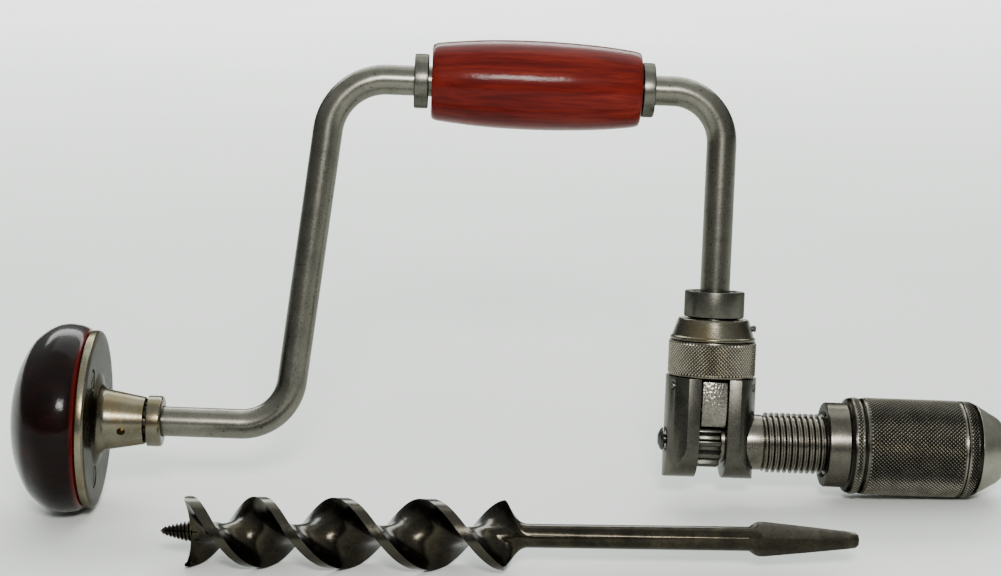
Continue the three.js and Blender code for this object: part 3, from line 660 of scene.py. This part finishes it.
def tube(stations, radius, sides, first_cross, end_round=0.6):
    """A round bar swept along stations, its ends slightly rounded"""
    mesh = bmesh.new()
    rings = []
    last = len(stations) - 1
    for index, (point, direction) in enumerate(stations):
        across = (first_cross - direction * first_cross.dot(direction)).normalized()
        beside = direction.cross(across)
        ends = [(0.0, radius)]
        if index == 0:
            ends = [(0.0, radius - end_round), (end_round, radius)]
        if index == last:
            ends = [(-end_round, radius), (0.0, radius - end_round)]
        for shift, size in ends:
            ring = []
            for i in range(sides):
                angle = 2 * math.pi * i / sides
                offset = across * math.cos(angle) * size + beside * math.sin(angle) * size
                ring.append(mesh.verts.new(point + direction * shift + offset))
            rings.append(ring)
    skin_rings(mesh, rings)
    return mesh


# ---------------------------------------------------------------- crank and grip

def make_crank():
    corners = [
        (-1.5, 0, 0), (LEFT_ARM_FOOT, 0, 0), (LEFT_ARM_TOP, 0, THROW), (ARM_X, 0, THROW),
        (ARM_X, 0, ROD_END_Z),
    ]
    bar = tube(bent_path(corners, BENDS, 18), ROD_R, 48, Vector((0, 1, 0)))
    add_piece("crank_bar", bar, BRACE, "frame", "rod", ["crank_rod"])


def make_ring(name, start, end, bore, radius, edge, place, node):
    """A steel collar that is fixed to the frame"""
    profile = rounded([
        (start, bore, 0.25), (start, radius, edge), (end, radius, edge), (end, bore, 0.25),
    ])
    add_piece(name, lathe(profile, 72), place, "frame", "satin", [node])


def make_grip():
    body = curved([
        (154.0, 15.0), (154.5, 16.0), (156.2, 16.75), (159.5, 17.2), (165.5, 17.85), (174, 18.6), (184, 19.1),
        (196, 19.3), (208, 19.15), (219, 18.7), (229, 18.0), (237, 17.15), (241.8, 16.45), (243.9, 15.8),
        (244.5, 14.8),
    ], 5)
    profile = [(154.0, ROD_R + GAP)] + body + [(244.5, ROD_R + GAP)]
    add_piece("turned_grip", lathe(profile, 128), GRIP, "grip", "grip", ["grip_sleeve"], 50)
    for side, start, end in (("left", 146.4, 152.6), ("right", 245.2, 250.6)):
        node = f"grip_collar_{side}"
        make_ring(f"grip_ring_{side}", start, end, ROD_R + GAP, 11.8, 0.9, GRIP, node)


# ---------------------------------------------------------------- head

def head_screw_places():
    """(y, z) of each flange screw"""
    for i in range(3):
        angle = math.radians(HEAD_SCREW_START + 120 * i)
        yield -HEAD_SCREW_CIRCLE * math.sin(angle), HEAD_SCREW_CIRCLE * math.cos(angle)


def make_head():
    outside = curved([
        (-22.9, 0), (-22.7, 4), (-22.1, 9), (-20.9, 15.8), (-18.2, 24.7), (-13.4, 33.5), (-8.6, 37.9),
        (-4, 40.4), (0, 41.2), (3.6, 41.05), (6.8, 40.4), (8.6, 39.6), (9.6, 38.8),
    ], 6)
    cavity = [(9.9, 38.2), (9.9, 12.2), (-3, 12.2), (-3, 0)]
    knob = lathe(outside + cavity, 160)
    add_piece("turned_knob", knob, BRACE, "head", "head", ["head_knob"], 50)

    plate = rounded([
        (PLATE_BACK, 8.7), (PLATE_BACK, 38.7, 1.1), (13.9, 38.7, 1.6), (PLATE_FRONT, 35.5, 0.6),
        (PLATE_FRONT, 20.4, 1.5), (15.4, 15.6, 4.0), (17.6, 13.3, 3.0), (HUB_END, 10.3, 0.8), (HUB_END, 9.7),
        (33.5, 9.7), (33.5, 8.7),
    ], 5)
    below = math.radians(OIL_HOLE_BELOW)
    direction = Vector((0, -math.cos(below), -math.sin(below)))
    at = Vector((OIL_HOLE_X, 0, 0))
    cutters = [rod(at + direction * 7, at + direction * 14, 1.75, 24)]
    for y, z in head_screw_places():
        cutters.append(rod((9, y, z), (15, y, z), 2.2, 24))
        cutters.append(rod((11.3, y, z), (14.5, y, z), 2.4, 32, 5.3))
    body = shaped(lathe(plate, 120), cutters)
    add_piece("flange_and_hub", body, BRACE, "head", "hub", ["head_plate"], 28)

    for index, (y, z) in enumerate(head_screw_places()):
        profile = rounded([
            (-6, 0), (-2, 1.9, 0.5), (11.3, 1.9), (13.55, 4.1, 0.3), (13.95, 4.1, 0.3), (14.0, 0),
        ])
        screw = lathe(profile, 32)
        slot = slab((12.9, -6, -0.5), (15, 6, 0.5))
        tilted(slot, Matrix.Rotation(math.radians(25 + 70 * index), 4, "X"))
        screw = shaped(screw, [slot])
        place = BRACE @ Matrix.Translation((0, y, z))
        number = index + 1
        name, node = f"flange_screw_{number}", f"head_screw_{number}"
        add_piece(name, screw, place, "head", "satin", [node])

    collar = rounded([
        (36.8, ROD_R + GAP), (36.8, 9.7), (35.7, 9.7), (35.7, 11.1, 1.3), (42.3, 11.1, 1.6),
        (42.3, ROD_R + GAP, 0.4),
    ], 4)
    add_piece("wrist_ring", lathe(collar, 72), BRACE, "frame", "warm", ["wrist_collar"])


# ---------------------------------------------------------------- ratchet head

def pawl_bore(towards, half_length):
    """The hole for the pawl pin on one side of the arm, as a cutter"""
    y = towards * PAWL_PIN_Y
    ends = [(ARM_X + x, y, PAWL_PIN_Z) for x in (-half_length, half_length)]
    return rod(*ends, PAWL_BORE_R, 24)


def make_ratchet_body():
    outline = [(FORK_HALF_DEPTH, FORK_TOP), (-FORK_HALF_DEPTH, FORK_TOP)]
    outline += arc_points(FORK_HALF_DEPTH, 180, 360, 40)
    block = prism(outline, ARM_X - 30, ARM_X + 30)
    # the barrel and stem are turned a little, so that no corner of theirs lies on a plane of the block
    barrel = lathe([(-20, 0), (-20, FORK_R), (FORK_TOP + 4, FORK_R), (FORK_TOP + 4, 0)], 128)
    tilted(barrel, Matrix.Rotation(math.radians(1.1), 4, "X"))
    tilted(barrel, TO_ARM)
    stem = lathe([(26, 0), (26, STEM_R), (54.2, STEM_R), (54.2, 9.5), (65.6, 9.5), (65.6, 0)], 64)
    tilted(stem, Matrix.Rotation(math.radians(0.7), 4, "X"))
    tilted(stem, TO_ARM)
    cutters = [
        slab((ARM_X - 6, -30, -30), (ARM_X + 6, 30, 38.5)),
        rod((ARM_X, 0, ROD_END_Z - 0.5), (ARM_X, 0, 70), ROD_R + GAP, 48),
        rod((ARM_X - 30, 0, 0), (ARM_X, 0, 0), 5.5, 48),
        rod((ARM_X, 0, 0), (ARM_X + 30, 0, 0), 9.3, 64),
        rod((291.3, 0, 0), (ARM_X + 30, 0, 0), 12.5, 64),
        rod((ARM_X, 4.2, 41.6), (ARM_X, 14, 41.6), 1.85, 20),
    ]
    for towards in (-1, 1):
        cutters.append(pawl_bore(towards, 30))
    body = shaped(block, cutters, keep=[barrel], joins=[stem], bevel=0.3, segments=2, angle=45)
    add_piece("ratchet_fork", body, BRACE, "frame", "fork", ["ratchet_body"], 28)


def make_selector():
    make_ring("arm_ring", 54.6, 66.0, 9.8, 13.15, 0.7, ARM, "arm_collar")
    ring = rounded([
        (28.95, 15), (28.95, 18.7, 0.4), (29.6, 19.25), (43.8, 19.25), (44.3, 18.7, 0.3),
        (44.3, SELECTOR_BORE), (43.4, SELECTOR_BORE), (43.4, 13), (39.8, 13), (39.8, SELECTOR_BORE),
        (38.9, SELECTOR_BORE), (38.9, 15),
    ])
    add_piece(
        "selector_knurled_ring", lathe(ring, 150, [(29.6, 43.8, 0.5, 1.58)]), ARM,
        "selector", "knurl", ["selector_ring"],
    )
    cap = rounded([
        (44.65, SELECTOR_BORE), (44.65, 18.65, 0.5), (45.9, 18.65, 0.6), (46.4, 17.9, 0.5), (53.0, 15.7, 0.9),
        (53.9, 15.3, 0.6), (53.9, SELECTOR_BORE),
    ], 4)
    hole = rod((50, 0, -10), (50, 0, -25), 1.5, 20)
    cone = shaped(lathe(cap, 120), [hole])
    add_piece("selector_cone", cone, ARM, "selector", "warm", ["selector_cap"], 28)
    profile = rounded([(13.2, 0), (13.2, 1.2), (17.2, 1.2), (17.2, 1.4), (18.8, 1.4, 0.35), (18.9, 0)])
    screw = shaped(lathe(profile, 24), [slab((18.3, -3, -0.25), (20, 3, 0.25))])
    tilted(screw, Matrix.Rotation(math.radians(40), 4, "X"))
    place = BRACE @ Matrix.Translation((ARM_X, 0, 50))
    add_piece("selector_stop_screw", screw, place, "selector", "blued", ["selector_screw"])


PAWL_OUTLINE = [
    (15.6, 27.2), (12.6, 29.4), (12.6, 36.4), (11.8, 37.2), (8.2, 37.2), (7.2, 36.4), (7, 31), (5.4, 26.4),
    (5.4, 22.4), (8, 17), (8.7, 11.8), (7.78, 9.62), (6.3, 7.42), (7.42, 6.3), (9.62, 7.78), (10.8, 7.4),
    (14.6, 7.9),
]


PAWL_FACE_STEPS = 12


def make_pawls():
    for side, towards in (("front", -1), ("rear", 1)):
        face = []
        for step in range(PAWL_FACE_STEPS):
            t = step / PAWL_FACE_STEPS
            bulge = 0.55 * math.sin(math.pi * t)
            face.append((15.2 + 0.4 * t + bulge, 8.9 + (27.2 - 8.9) * t))
        outline = [(towards * y, z) for y, z in face + PAWL_OUTLINE]
        blank = prism(outline, ARM_X - 5.4, ARM_X + 5.4)
        pawl = shaped(blank, [pawl_bore(towards, 9)], bevel=0.4, segments=2, angle=28)
        name, body, node = f"{side}_ratchet_pawl", f"{side}_pawl", f"pawl_{side}"
        add_piece(name, pawl, BRACE, body, "pawl", [node], 28)
        reach = math.sqrt(FORK_R ** 2 - PAWL_PIN_Y ** 2) + 0.35
        profile = [(-reach - 0.3, 0), (-reach, 1.4, 0.8), (reach, 1.4, 0.8), (reach + 0.3, 0)]
        pin = lathe(rounded(profile, 4), 32)
        place = BRACE @ Matrix.Translation((ARM_X, towards * PAWL_PIN_Y, PAWL_PIN_Z))
        add_piece(f"{side}_rivet_pin", pin, place, "frame", "satin", [f"pawl_pin_{side}"])


def make_wheel():
    outline = []
    for i in range(12):
        middle = 30 * i
        for radius, angle in ((11.7, -4.5), (11.7, 4.5), (8.9, 9.5), (8.9, 20.5)):
            turn = math.radians(middle + angle)
            outline.append((radius * math.cos(turn), radius * math.sin(turn)))
    seat = slab((270, -5.5, -5.5), (290, 5.5, 5.5))
    wheel = shaped(prism(outline, 275.6, 285.6), [seat], bevel=0.25, segments=2, angle=25)
    add_piece("toothed_wheel", wheel, BRACE, "spindle", "satin", ["ratchet_wheel"], 28)


# ---------------------------------------------------------------- spindle and chuck

def helical_thread(start, end, radius, pitch, depth, columns=96, per_turn=8):
    """A right-handed thread as a solid of revolution twisted into a helix, with both ends faced off."""
    mesh = bmesh.new()
    step = pitch / per_turn
    count = int((end - start) / step) + 2 * per_turn
    root = radius - depth
    crest = [0.0, 0.0, 0.45, 1.0, 1.0, 1.0, 0.45, 0.0]
    grid = []
    for i in range(columns):
        angle = 2 * math.pi * i / columns
        column = []
        for j in range(-per_turn, count):
            axial = start + (j + per_turn * i / columns) * step
            height = root + depth * crest[j % per_turn]
            # the thread runs out towards both ends
            for inside in (axial - start, end - axial):
                height = min(height, root + max(0.0, inside) * 1.2)
            axial = min(max(axial, start), end)
            column.append(mesh.verts.new((axial, height * math.cos(angle), height * math.sin(angle))))
        grid.append(column)
    rows = len(grid[0])
    for i in range(columns):
        k = (i + 1) % columns
        shift = per_turn if k == 0 else 0
        for j in range(rows - 1):
            if j + 1 + shift >= rows:
                break
            mesh.faces.new((grid[i][j], grid[i][j + 1], grid[k][j + 1 + shift], grid[k][j + shift]))
    bmesh.ops.remove_doubles(mesh, verts=mesh.verts, dist=1e-4)
    bmesh.ops.dissolve_degenerate(mesh, dist=1e-4, edges=mesh.edges)
    bmesh.ops.holes_fill(mesh, edges=[edge for edge in mesh.edges if len(edge.link_faces) == 1], sides=0)
    return mesh


def make_spindle():
    shaft = lathe([
        (285.9, 0), (285.9, 9), (291.6, 9), (291.6, 12.2), (303.9, 12.2), (304.4, 11.8), (359.5, 11.6),
        (359.6, 12.5), (395.2, 12.5), (396, 11.7), (396, 0),
    ], 96)
    square = slab((275.6, -5.2, -5.2), (288, 5.2, 5.2))
    journal = rod((262.4, 0, 0), (277, 0, 0), 5.2, 48)
    jaw_slot = slab((368, -4.8, -20), (400, 4.8, 20))
    screw_hole = rod((255, 0, 0), (272.5, 0, 0), 2.3, 24)
    body = shaped(shaft, [jaw_slot, screw_hole], joins=[square, journal], bevel=0.25, segments=2, angle=40)
    thread = helical_thread(THREAD_FROM, THREAD_TO, THREAD_R, THREAD_PITCH, 1.45)
    append_mesh(body, thread)
    add_piece("threaded_spindle", body, BRACE, "spindle", "thread", ["chuck_spindle"], 24)
    dome = lathe(rounded([
        (258.9, 0), (259.0, 2.2, 0.5), (260.0, 4.3, 1.0), (261.1, 5.4, 0.2), (261.1, 2.0), (271, 2.0),
        (271, 0),
    ]), 48)
    add_piece("spindle_dome_screw", dome, BRACE, "spindle", "blued", ["spindle_end_screw"])


def make_shell():
    profile = rounded([
        (333.4, 13.55), (332.0, 14.9, 0.3), (332.0, 18.6, 0.9), (341.1, 18.6, 0.3), (341.6, 20.2, 0.5),
        (342.9, 21.1, 0.4),
    ])
    profile += [(343.6, 21.35), (346.4, 21.35)]
    profile += rounded([(346.6, 21.0), (347.7, 20.5, 0.3), (348.3, 20.5, 0.3), (348.7, 21.0, 0.3)])
    profile += [(349.3, SHELL_R), (391.0, SHELL_R)]
    profile += rounded([(391.3, 21.2, 0.2), (391.8, 20.8, 0.2), (392.3, 20.8, 0.2), (392.7, 21.2, 0.2)])
    profile += [(393.0, 21.4), (396.8, 21.2)]
    profile += rounded([
        (397.2, 20.8), (398.15, 20.35, 0.3), (398.15, 18.5), (394.0, 18.5), (394.0, 20.4), (391.0, 20.4),
        (391.0, 18.5), (351.0, 18.5), (351.0, 13.55),
    ])
    knurls = [(343.6, 346.4, 0.5, 1.4), (349.3, 391.0, 0.62, 1.74), (393.0, 396.8, 0.55, 1.27)]
    sleeve = lathe(profile, 156, knurls)
    add_piece("chuck_sleeve", sleeve, BRACE, "shell", "sleeve", ["chuck_shell"])


def make_nose():
    mouth = NOSE_CONE_FROM + (NOSE_BORE_R - NOSE_MOUTH_R) / CONE_SLOPE
    profile = rounded([
        (384, NOSE_BORE_R, 0.3), (384, 18.15, 0.3), (391.0, 18.15), (391.0, 17.4), (394.0, 17.4),
        (394.0, 18.15), (398.5, 18.15), (398.5, 20.3, 0.35), (408.6, 14.6, 0.6), (410.3, 13.05, 0.7),
        (411.15, 11.6, 0.5), (411.15, NOSE_MOUTH_R, 0.4), (mouth, NOSE_MOUTH_R),
        (NOSE_CONE_FROM, NOSE_BORE_R),
    ], 4)
    add_piece("chuck_cone", lathe(profile, 128), BRACE, "nose", "nose", ["chuck_nose"])


def make_jaws():
    for side in ("upper", "lower"):
        blank = slab((372, -4.4, 5.0), (407, 4.4, 14))
        height = 12.5
        slope_from = NOSE_CONE_FROM + (NOSE_BORE_R - 0.5 - height) / CONE_SLOPE
        front_r = NOSE_BORE_R - CONE_SLOPE * (408 - NOSE_CONE_FROM) - 0.5
        envelope = lathe([
            (371, 0), (371, 9), (386, height), (slope_from, height), (408, front_r), (408, 0),
        ])
        tooth_places = [384.5 + 2 * k for k in range(11)]
        teeth = [rod((x, -6, 5.0), (x, 6, 5.0), 0.7, 4) for x in tooth_places]
        jaw = shaped(blank, teeth, keep=[envelope], bevel=0.2, segments=1, angle=40)
        if side == "lower":
            tilted(jaw, Matrix.Rotation(math.pi, 4, "X"))
        name, body, node = f"{side}_alligator_jaw", f"{side}_jaw", f"jaw_{side}"
        add_piece(name, jaw, BRACE, body, "satin", [node], 30)


def make_jaw_spring():
    """The bent wire between the jaws"""
    stations = bent_path([(385, 0, 3.6), (374, 0, 3.6), (374, 0, -3.6), (385, 0, -3.6)], (3.4, 3.4), 10, 2.0)
    wire = tube(stations, 0.55, 16, Vector((0, 1, 0)), 0.15)
    piece = add_piece("jaw_spring_wire", wire, BRACE, "spindle", "blued", ["jaw_spring"])
    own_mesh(piece)


# ---------------------------------------------------------------- auger bit

BIT_SEEN_FROM = 20.4  # degrees above the floor
WING_LEAD = 2.3  # how far the cutting end's outer corners run ahead
TWIST_FROM = 13.2
TWIST_TO = 152.0
TWIST_STEPS = 150
RIM_STEPS = 8
FACE_STEPS = 14
# (distance from the tip, half turns) where an outer edge faces the front
EDGE_CROSSINGS = ((-6.4, -1.0), (24.6, 0.0), (55.3, 1.0), (90.3, 2.0), (125.7, 3.0), (161.0, 4.0))


def twist_angle(s):
    """The twist's angle at s along the bit, straight between the crossings"""
    tilt = math.radians(BIT_SEEN_FROM)
    for (s0, k0), (s1, k1) in zip(EDGE_CROSSINGS, EDGE_CROSSINGS[1:]):
        if s <= s1:
            return math.pi * (k0 + (k1 - k0) * (s - s0) / (s1 - s0)) - tilt
    return math.pi * EDGE_CROSSINGS[-1][1] - tilt


def twist_section(half_width, rim, waist, middle, round_off):
    """A bar's outline: two rims on the circle of the bit and hollowed faces with a rib between them.

    round_off blends it towards the round shank, from 0 to 1.
    """
    rim_angle = math.asin(min(rim / half_width, 0.99))
    points = []
    for side in (0, 1):
        turn = math.pi * side
        for step in range(RIM_STEPS + 1):
            angle = -rim_angle + 2 * rim_angle * step / RIM_STEPS
            points.append((half_width * math.cos(angle + turn), half_width * math.sin(angle + turn)))
        sign = 1 if side == 0 else -1
        start = half_width * math.cos(rim_angle)
        for step in range(1, FACE_STEPS):
            u = start * (1 - 2 * step / FACE_STEPS)
            t = abs(u) / start
            if t > 0.55:
                f = (t - 0.55) / 0.45
                half = waist + (rim - waist) * f * f
            else:
                f = 1 - t / 0.55
                half = waist + (middle - waist) * f * f * (3 - 2 * f)
            points.append((sign * u, sign * half))
    if round_off <= 0:
        return points
    result = []
    for y, z in points:
        r = math.hypot(y, z)
        scale = 1 + (BIT_SHANK_R / r - 1) * round_off if r > 0 else 1
        result.append((y * scale, z * scale))
    return result


def between(first, last, share):
    return first + (last - first) * share


def risen(s, start, length):
    """0 before start, 1 after its length, straight between"""
    return min(max((s - start) / length, 0.0), 1.0)


def make_twist():
    """The double twist from the cutting end to where it runs out into the shank"""
    mesh = bmesh.new()
    rings = []
    for step in range(TWIST_STEPS + 1):
        s = TWIST_FROM + (TWIST_TO - TWIST_FROM) * step / TWIST_STEPS
        ease = 1 - (1 - risen(s, 140.3, 9.7)) ** 1.5
        width = between(BIT_R, BIT_SHANK_R, ease)
        rim = min(between(4.5, 3.1, risen(s, TWIST_FROM, 13.0)), width * 0.95)
        waist = between(2.4, 4.6, ease)
        middle = between(3.4, 4.85, ease)
        outline = twist_section(width, rim, waist, middle, ease ** 2)
        lead = WING_LEAD * max(0.0, 1 - (s - TWIST_FROM) / 8)
        ring = []
        for y, z in outline:
            ahead = s - lead * (math.hypot(y, z) / BIT_R) ** 2
            angle = twist_angle(ahead)
            c, d = math.cos(angle), math.sin(angle)
            ring.append(mesh.verts.new((ahead, y * c - z * d, y * d + z * c)))
        rings.append(ring)
    skin_rings(mesh, rings)
    bmesh.ops.recalc_face_normals(mesh, faces=mesh.faces)
    return mesh


def make_bit():
    shank = lathe(rounded([
        (128, 0), (128, 3.0), (146, 4.6, 2.0), (151, BIT_SHANK_R, 1.0), (240, BIT_SHANK_R), (240, 0),
    ], 4), 48)
    core = lathe(rounded([
        (TWIST_FROM, 0), (TWIST_FROM, 3.6), (16, 4.0, 1.0), (24, 3.7, 2.0), (30, 2.0), (30, 0),
    ], 4), 40)
    body = shaped(make_twist(), joins=[shank, core, make_tang(), *make_spurs()])
    screw = helical_thread(0.9, 14.4, 4.1, 1.6, 1.05, 40, 8)
    for vertex in screw.verts:
        shrink = min(1.0, 0.22 + 0.78 * (vertex.co.x / 11.0) ** 0.75)
        vertex.co.y *= shrink
        vertex.co.z *= shrink
    point = lathe([(0, 0), (0.25, 0.3), (1.2, 0.75), (3, 1.2), (3, 0)], 20)
    append_mesh(body, screw)
    append_mesh(body, point)
    add_piece("forged_auger", body, BIT, "bit", "bit", ["auger_bit"], 34)


TANG_SIDES = 24
TANG_TURN = math.radians(-22)


def make_tang():
    """Square taper tang: wide shoulders behind the shank, its corners slightly blunted.

    Each station is (distance from the tip, distance to a corner, share of roundness).
    """
    mesh = bmesh.new()
    stations = [
        (231.5, 4.6, 0.95), (234.5, 5.15, 0.85), (237.5, 5.85, 0.7), (240.0, 6.75, 0.45),
        (241.6, 7.2, 0.25), (243.2, 7.2, 0.16), (260, 5.45, 0.14), (276.5, 3.65, 0.2),
        (279.6, 3.2, 0.45), (280.8, 2.2, 0.8), (BIT_LENGTH, 1.0, 0.9),
    ]
    rings = []
    for s, corner, roundness in stations:
        round_r = min(corner, BIT_SHANK_R if s < 240 else corner) * 0.93
        ring = []
        for i in range(TANG_SIDES):
            angle = 2 * math.pi * i / TANG_SIDES
            square = corner / (abs(math.cos(angle)) + abs(math.sin(angle)))
            radius = min(square + (round_r - square) * roundness, corner * 0.965)
            turn = angle + TANG_TURN
            ring.append(mesh.verts.new((s, radius * math.cos(turn), radius * math.sin(turn))))
        rings.append(ring)
    skin_rings(mesh, rings)
    bmesh.ops.recalc_face_normals(mesh, faces=mesh.faces)
    return mesh


SPUR_SECTIONS = (
    (TWIST_FROM, ((11.6, -3.0), (13.7, -3.0), (13.8, 1.6), (11.6, 1.6))),
    (10.1, ((13.0, -2.6), (13.75, -2.6), (13.9, -1.4), (13.0, -1.4))),
)


def make_spurs():
    """Two nicking spurs on the rims of the cutting end: wedges that lead towards the tip"""
    spurs = []
    for side in (0, 1):
        mesh = bmesh.new()
        rings = []
        for s, corners in SPUR_SECTIONS:
            rings.append([mesh.verts.new((s, r, t)) for r, t in corners])
        skin_rings(mesh, rings)
        tilted(mesh, Matrix.Rotation(twist_angle(12.0) + math.pi * side, 4, "X"))
        spurs.append(mesh)
    return spurs


make_crank()
make_grip()
make_head()
make_ratchet_body()
make_selector()
make_pawls()
make_wheel()
make_spindle()
make_shell()
make_nose()
make_jaws()
make_jaw_spring()
make_bit()

# ---------------------------------------------------------------- CAD nodes that stay

KEPT_FINISH = {"spring_steel": "cad_spring", "bronze": "cad_bronze"}
for part in frame["record"]["subparts"]:
    node = frame["nodes"][part["node"]]
    finish = KEPT_FINISH.get(part["material_slot"], "cad_dark")
    if "_ball_" in part["node"]:
        finish = "cad_greased"
    node.data.materials.clear()
    node.data.materials.append(MATERIALS[finish])

# ---------------------------------------------------------------- floor, light, camera

FLOOR_SIZE = 8.0
FLOOR_DROP = 0.0002
SKY_LOW = (0.16, 0.17, 0.165)
SKY_HIGH = (1.05, 1.12, 1.09)
floor_mesh = bmesh.new()
bmesh.ops.create_grid(floor_mesh, x_segments=4, y_segments=4, size=FLOOR_SIZE / 2)
floor = to_object(floor_mesh, "floor")
floor_shader = Shader("floor_paint")
floor_place = floor_shader.node("ShaderNodeTexCoord").outputs["Object"]
floor_tone = floor_shader.ramp(floor_shader.noise(floor_place, 3.0, 4.0, 0.5), [
    (0.35, (0.70, 0.72, 0.69)),
    (0.65, (0.74, 0.755, 0.725)),
])
floor.data.materials.append(floor_shader.surface(Base_Color=floor_tone, Roughness=0.75))
floor.location.z = -FLOOR_DROP

world = bpy.data.worlds.new("studio")
bpy.context.scene.world = world
world.use_nodes = True
sky = world.node_tree.nodes
direction = sky.new("ShaderNodeTexCoord").outputs["Generated"]
parts = sky.new("ShaderNodeSeparateXYZ")
world.node_tree.links.new(direction, parts.inputs[0])
tones = sky.new("ShaderNodeValToRGB")
world.node_tree.links.new(parts.outputs["Z"], tones.inputs["Fac"])
for element, (position, color) in zip(tones.color_ramp.elements, ((0.15, SKY_LOW), (0.85, SKY_HIGH))):
    element.position = position
    element.color = (*color, 1)
world.node_tree.links.new(tones.outputs["Color"], sky["Background"].inputs["Color"])
sky["Background"].inputs["Strength"].default_value = 1.0


def add_area(name, location, target, size, power, color):
    """A rectangular light that faces the target"""
    light = bpy.data.lights.new(name, "AREA")
    light.shape = "RECTANGLE"
    light.size, light.size_y = size
    light.energy = power
    light.color = color
    holder = bpy.data.objects.new(name, light)
    holder.location = location
    direction = Vector(target) - Vector(location)
    holder.rotation_euler = direction.to_track_quat("-Z", "Y").to_euler()
    bpy.context.scene.collection.objects.link(holder)


add_area("window_light", (0.03, -1.05, 0.72), (0, 0, 0.08), (0.28, 0.20), 16, (1.0, 0.99, 0.96))
add_area("overhead_light", (0.1, 0.9, 1.7), (0, 0.6, 0), (1.8, 1.2), 12, (0.95, 1.0, 0.98))
add_area("backdrop_light", (0.0, 2.6, 1.8), (0, 2.6, 0), (4.0, 1.6), 185, (0.96, 1.0, 0.98))

CAMERA_SENSOR = 36.0
CAMERA_LENS = 70.744
CAMERA_PLACE = (-0.0202596, -0.8005348, 0.2946413)
CAMERA_DEGREES = (76.5529, 0.4106, -1.2171)
camera_data = bpy.data.cameras.new("camera")
camera_data.sensor_width = CAMERA_SENSOR
camera_data.lens = CAMERA_LENS
camera_data.clip_start = 0.05
camera_data.clip_end = 30.0
camera = bpy.data.objects.new("camera", camera_data)
camera.location = CAMERA_PLACE
camera.rotation_euler = tuple(math.radians(angle) for angle in CAMERA_DEGREES)
bpy.context.scene.collection.objects.link(camera)
bpy.context.scene.camera = camera
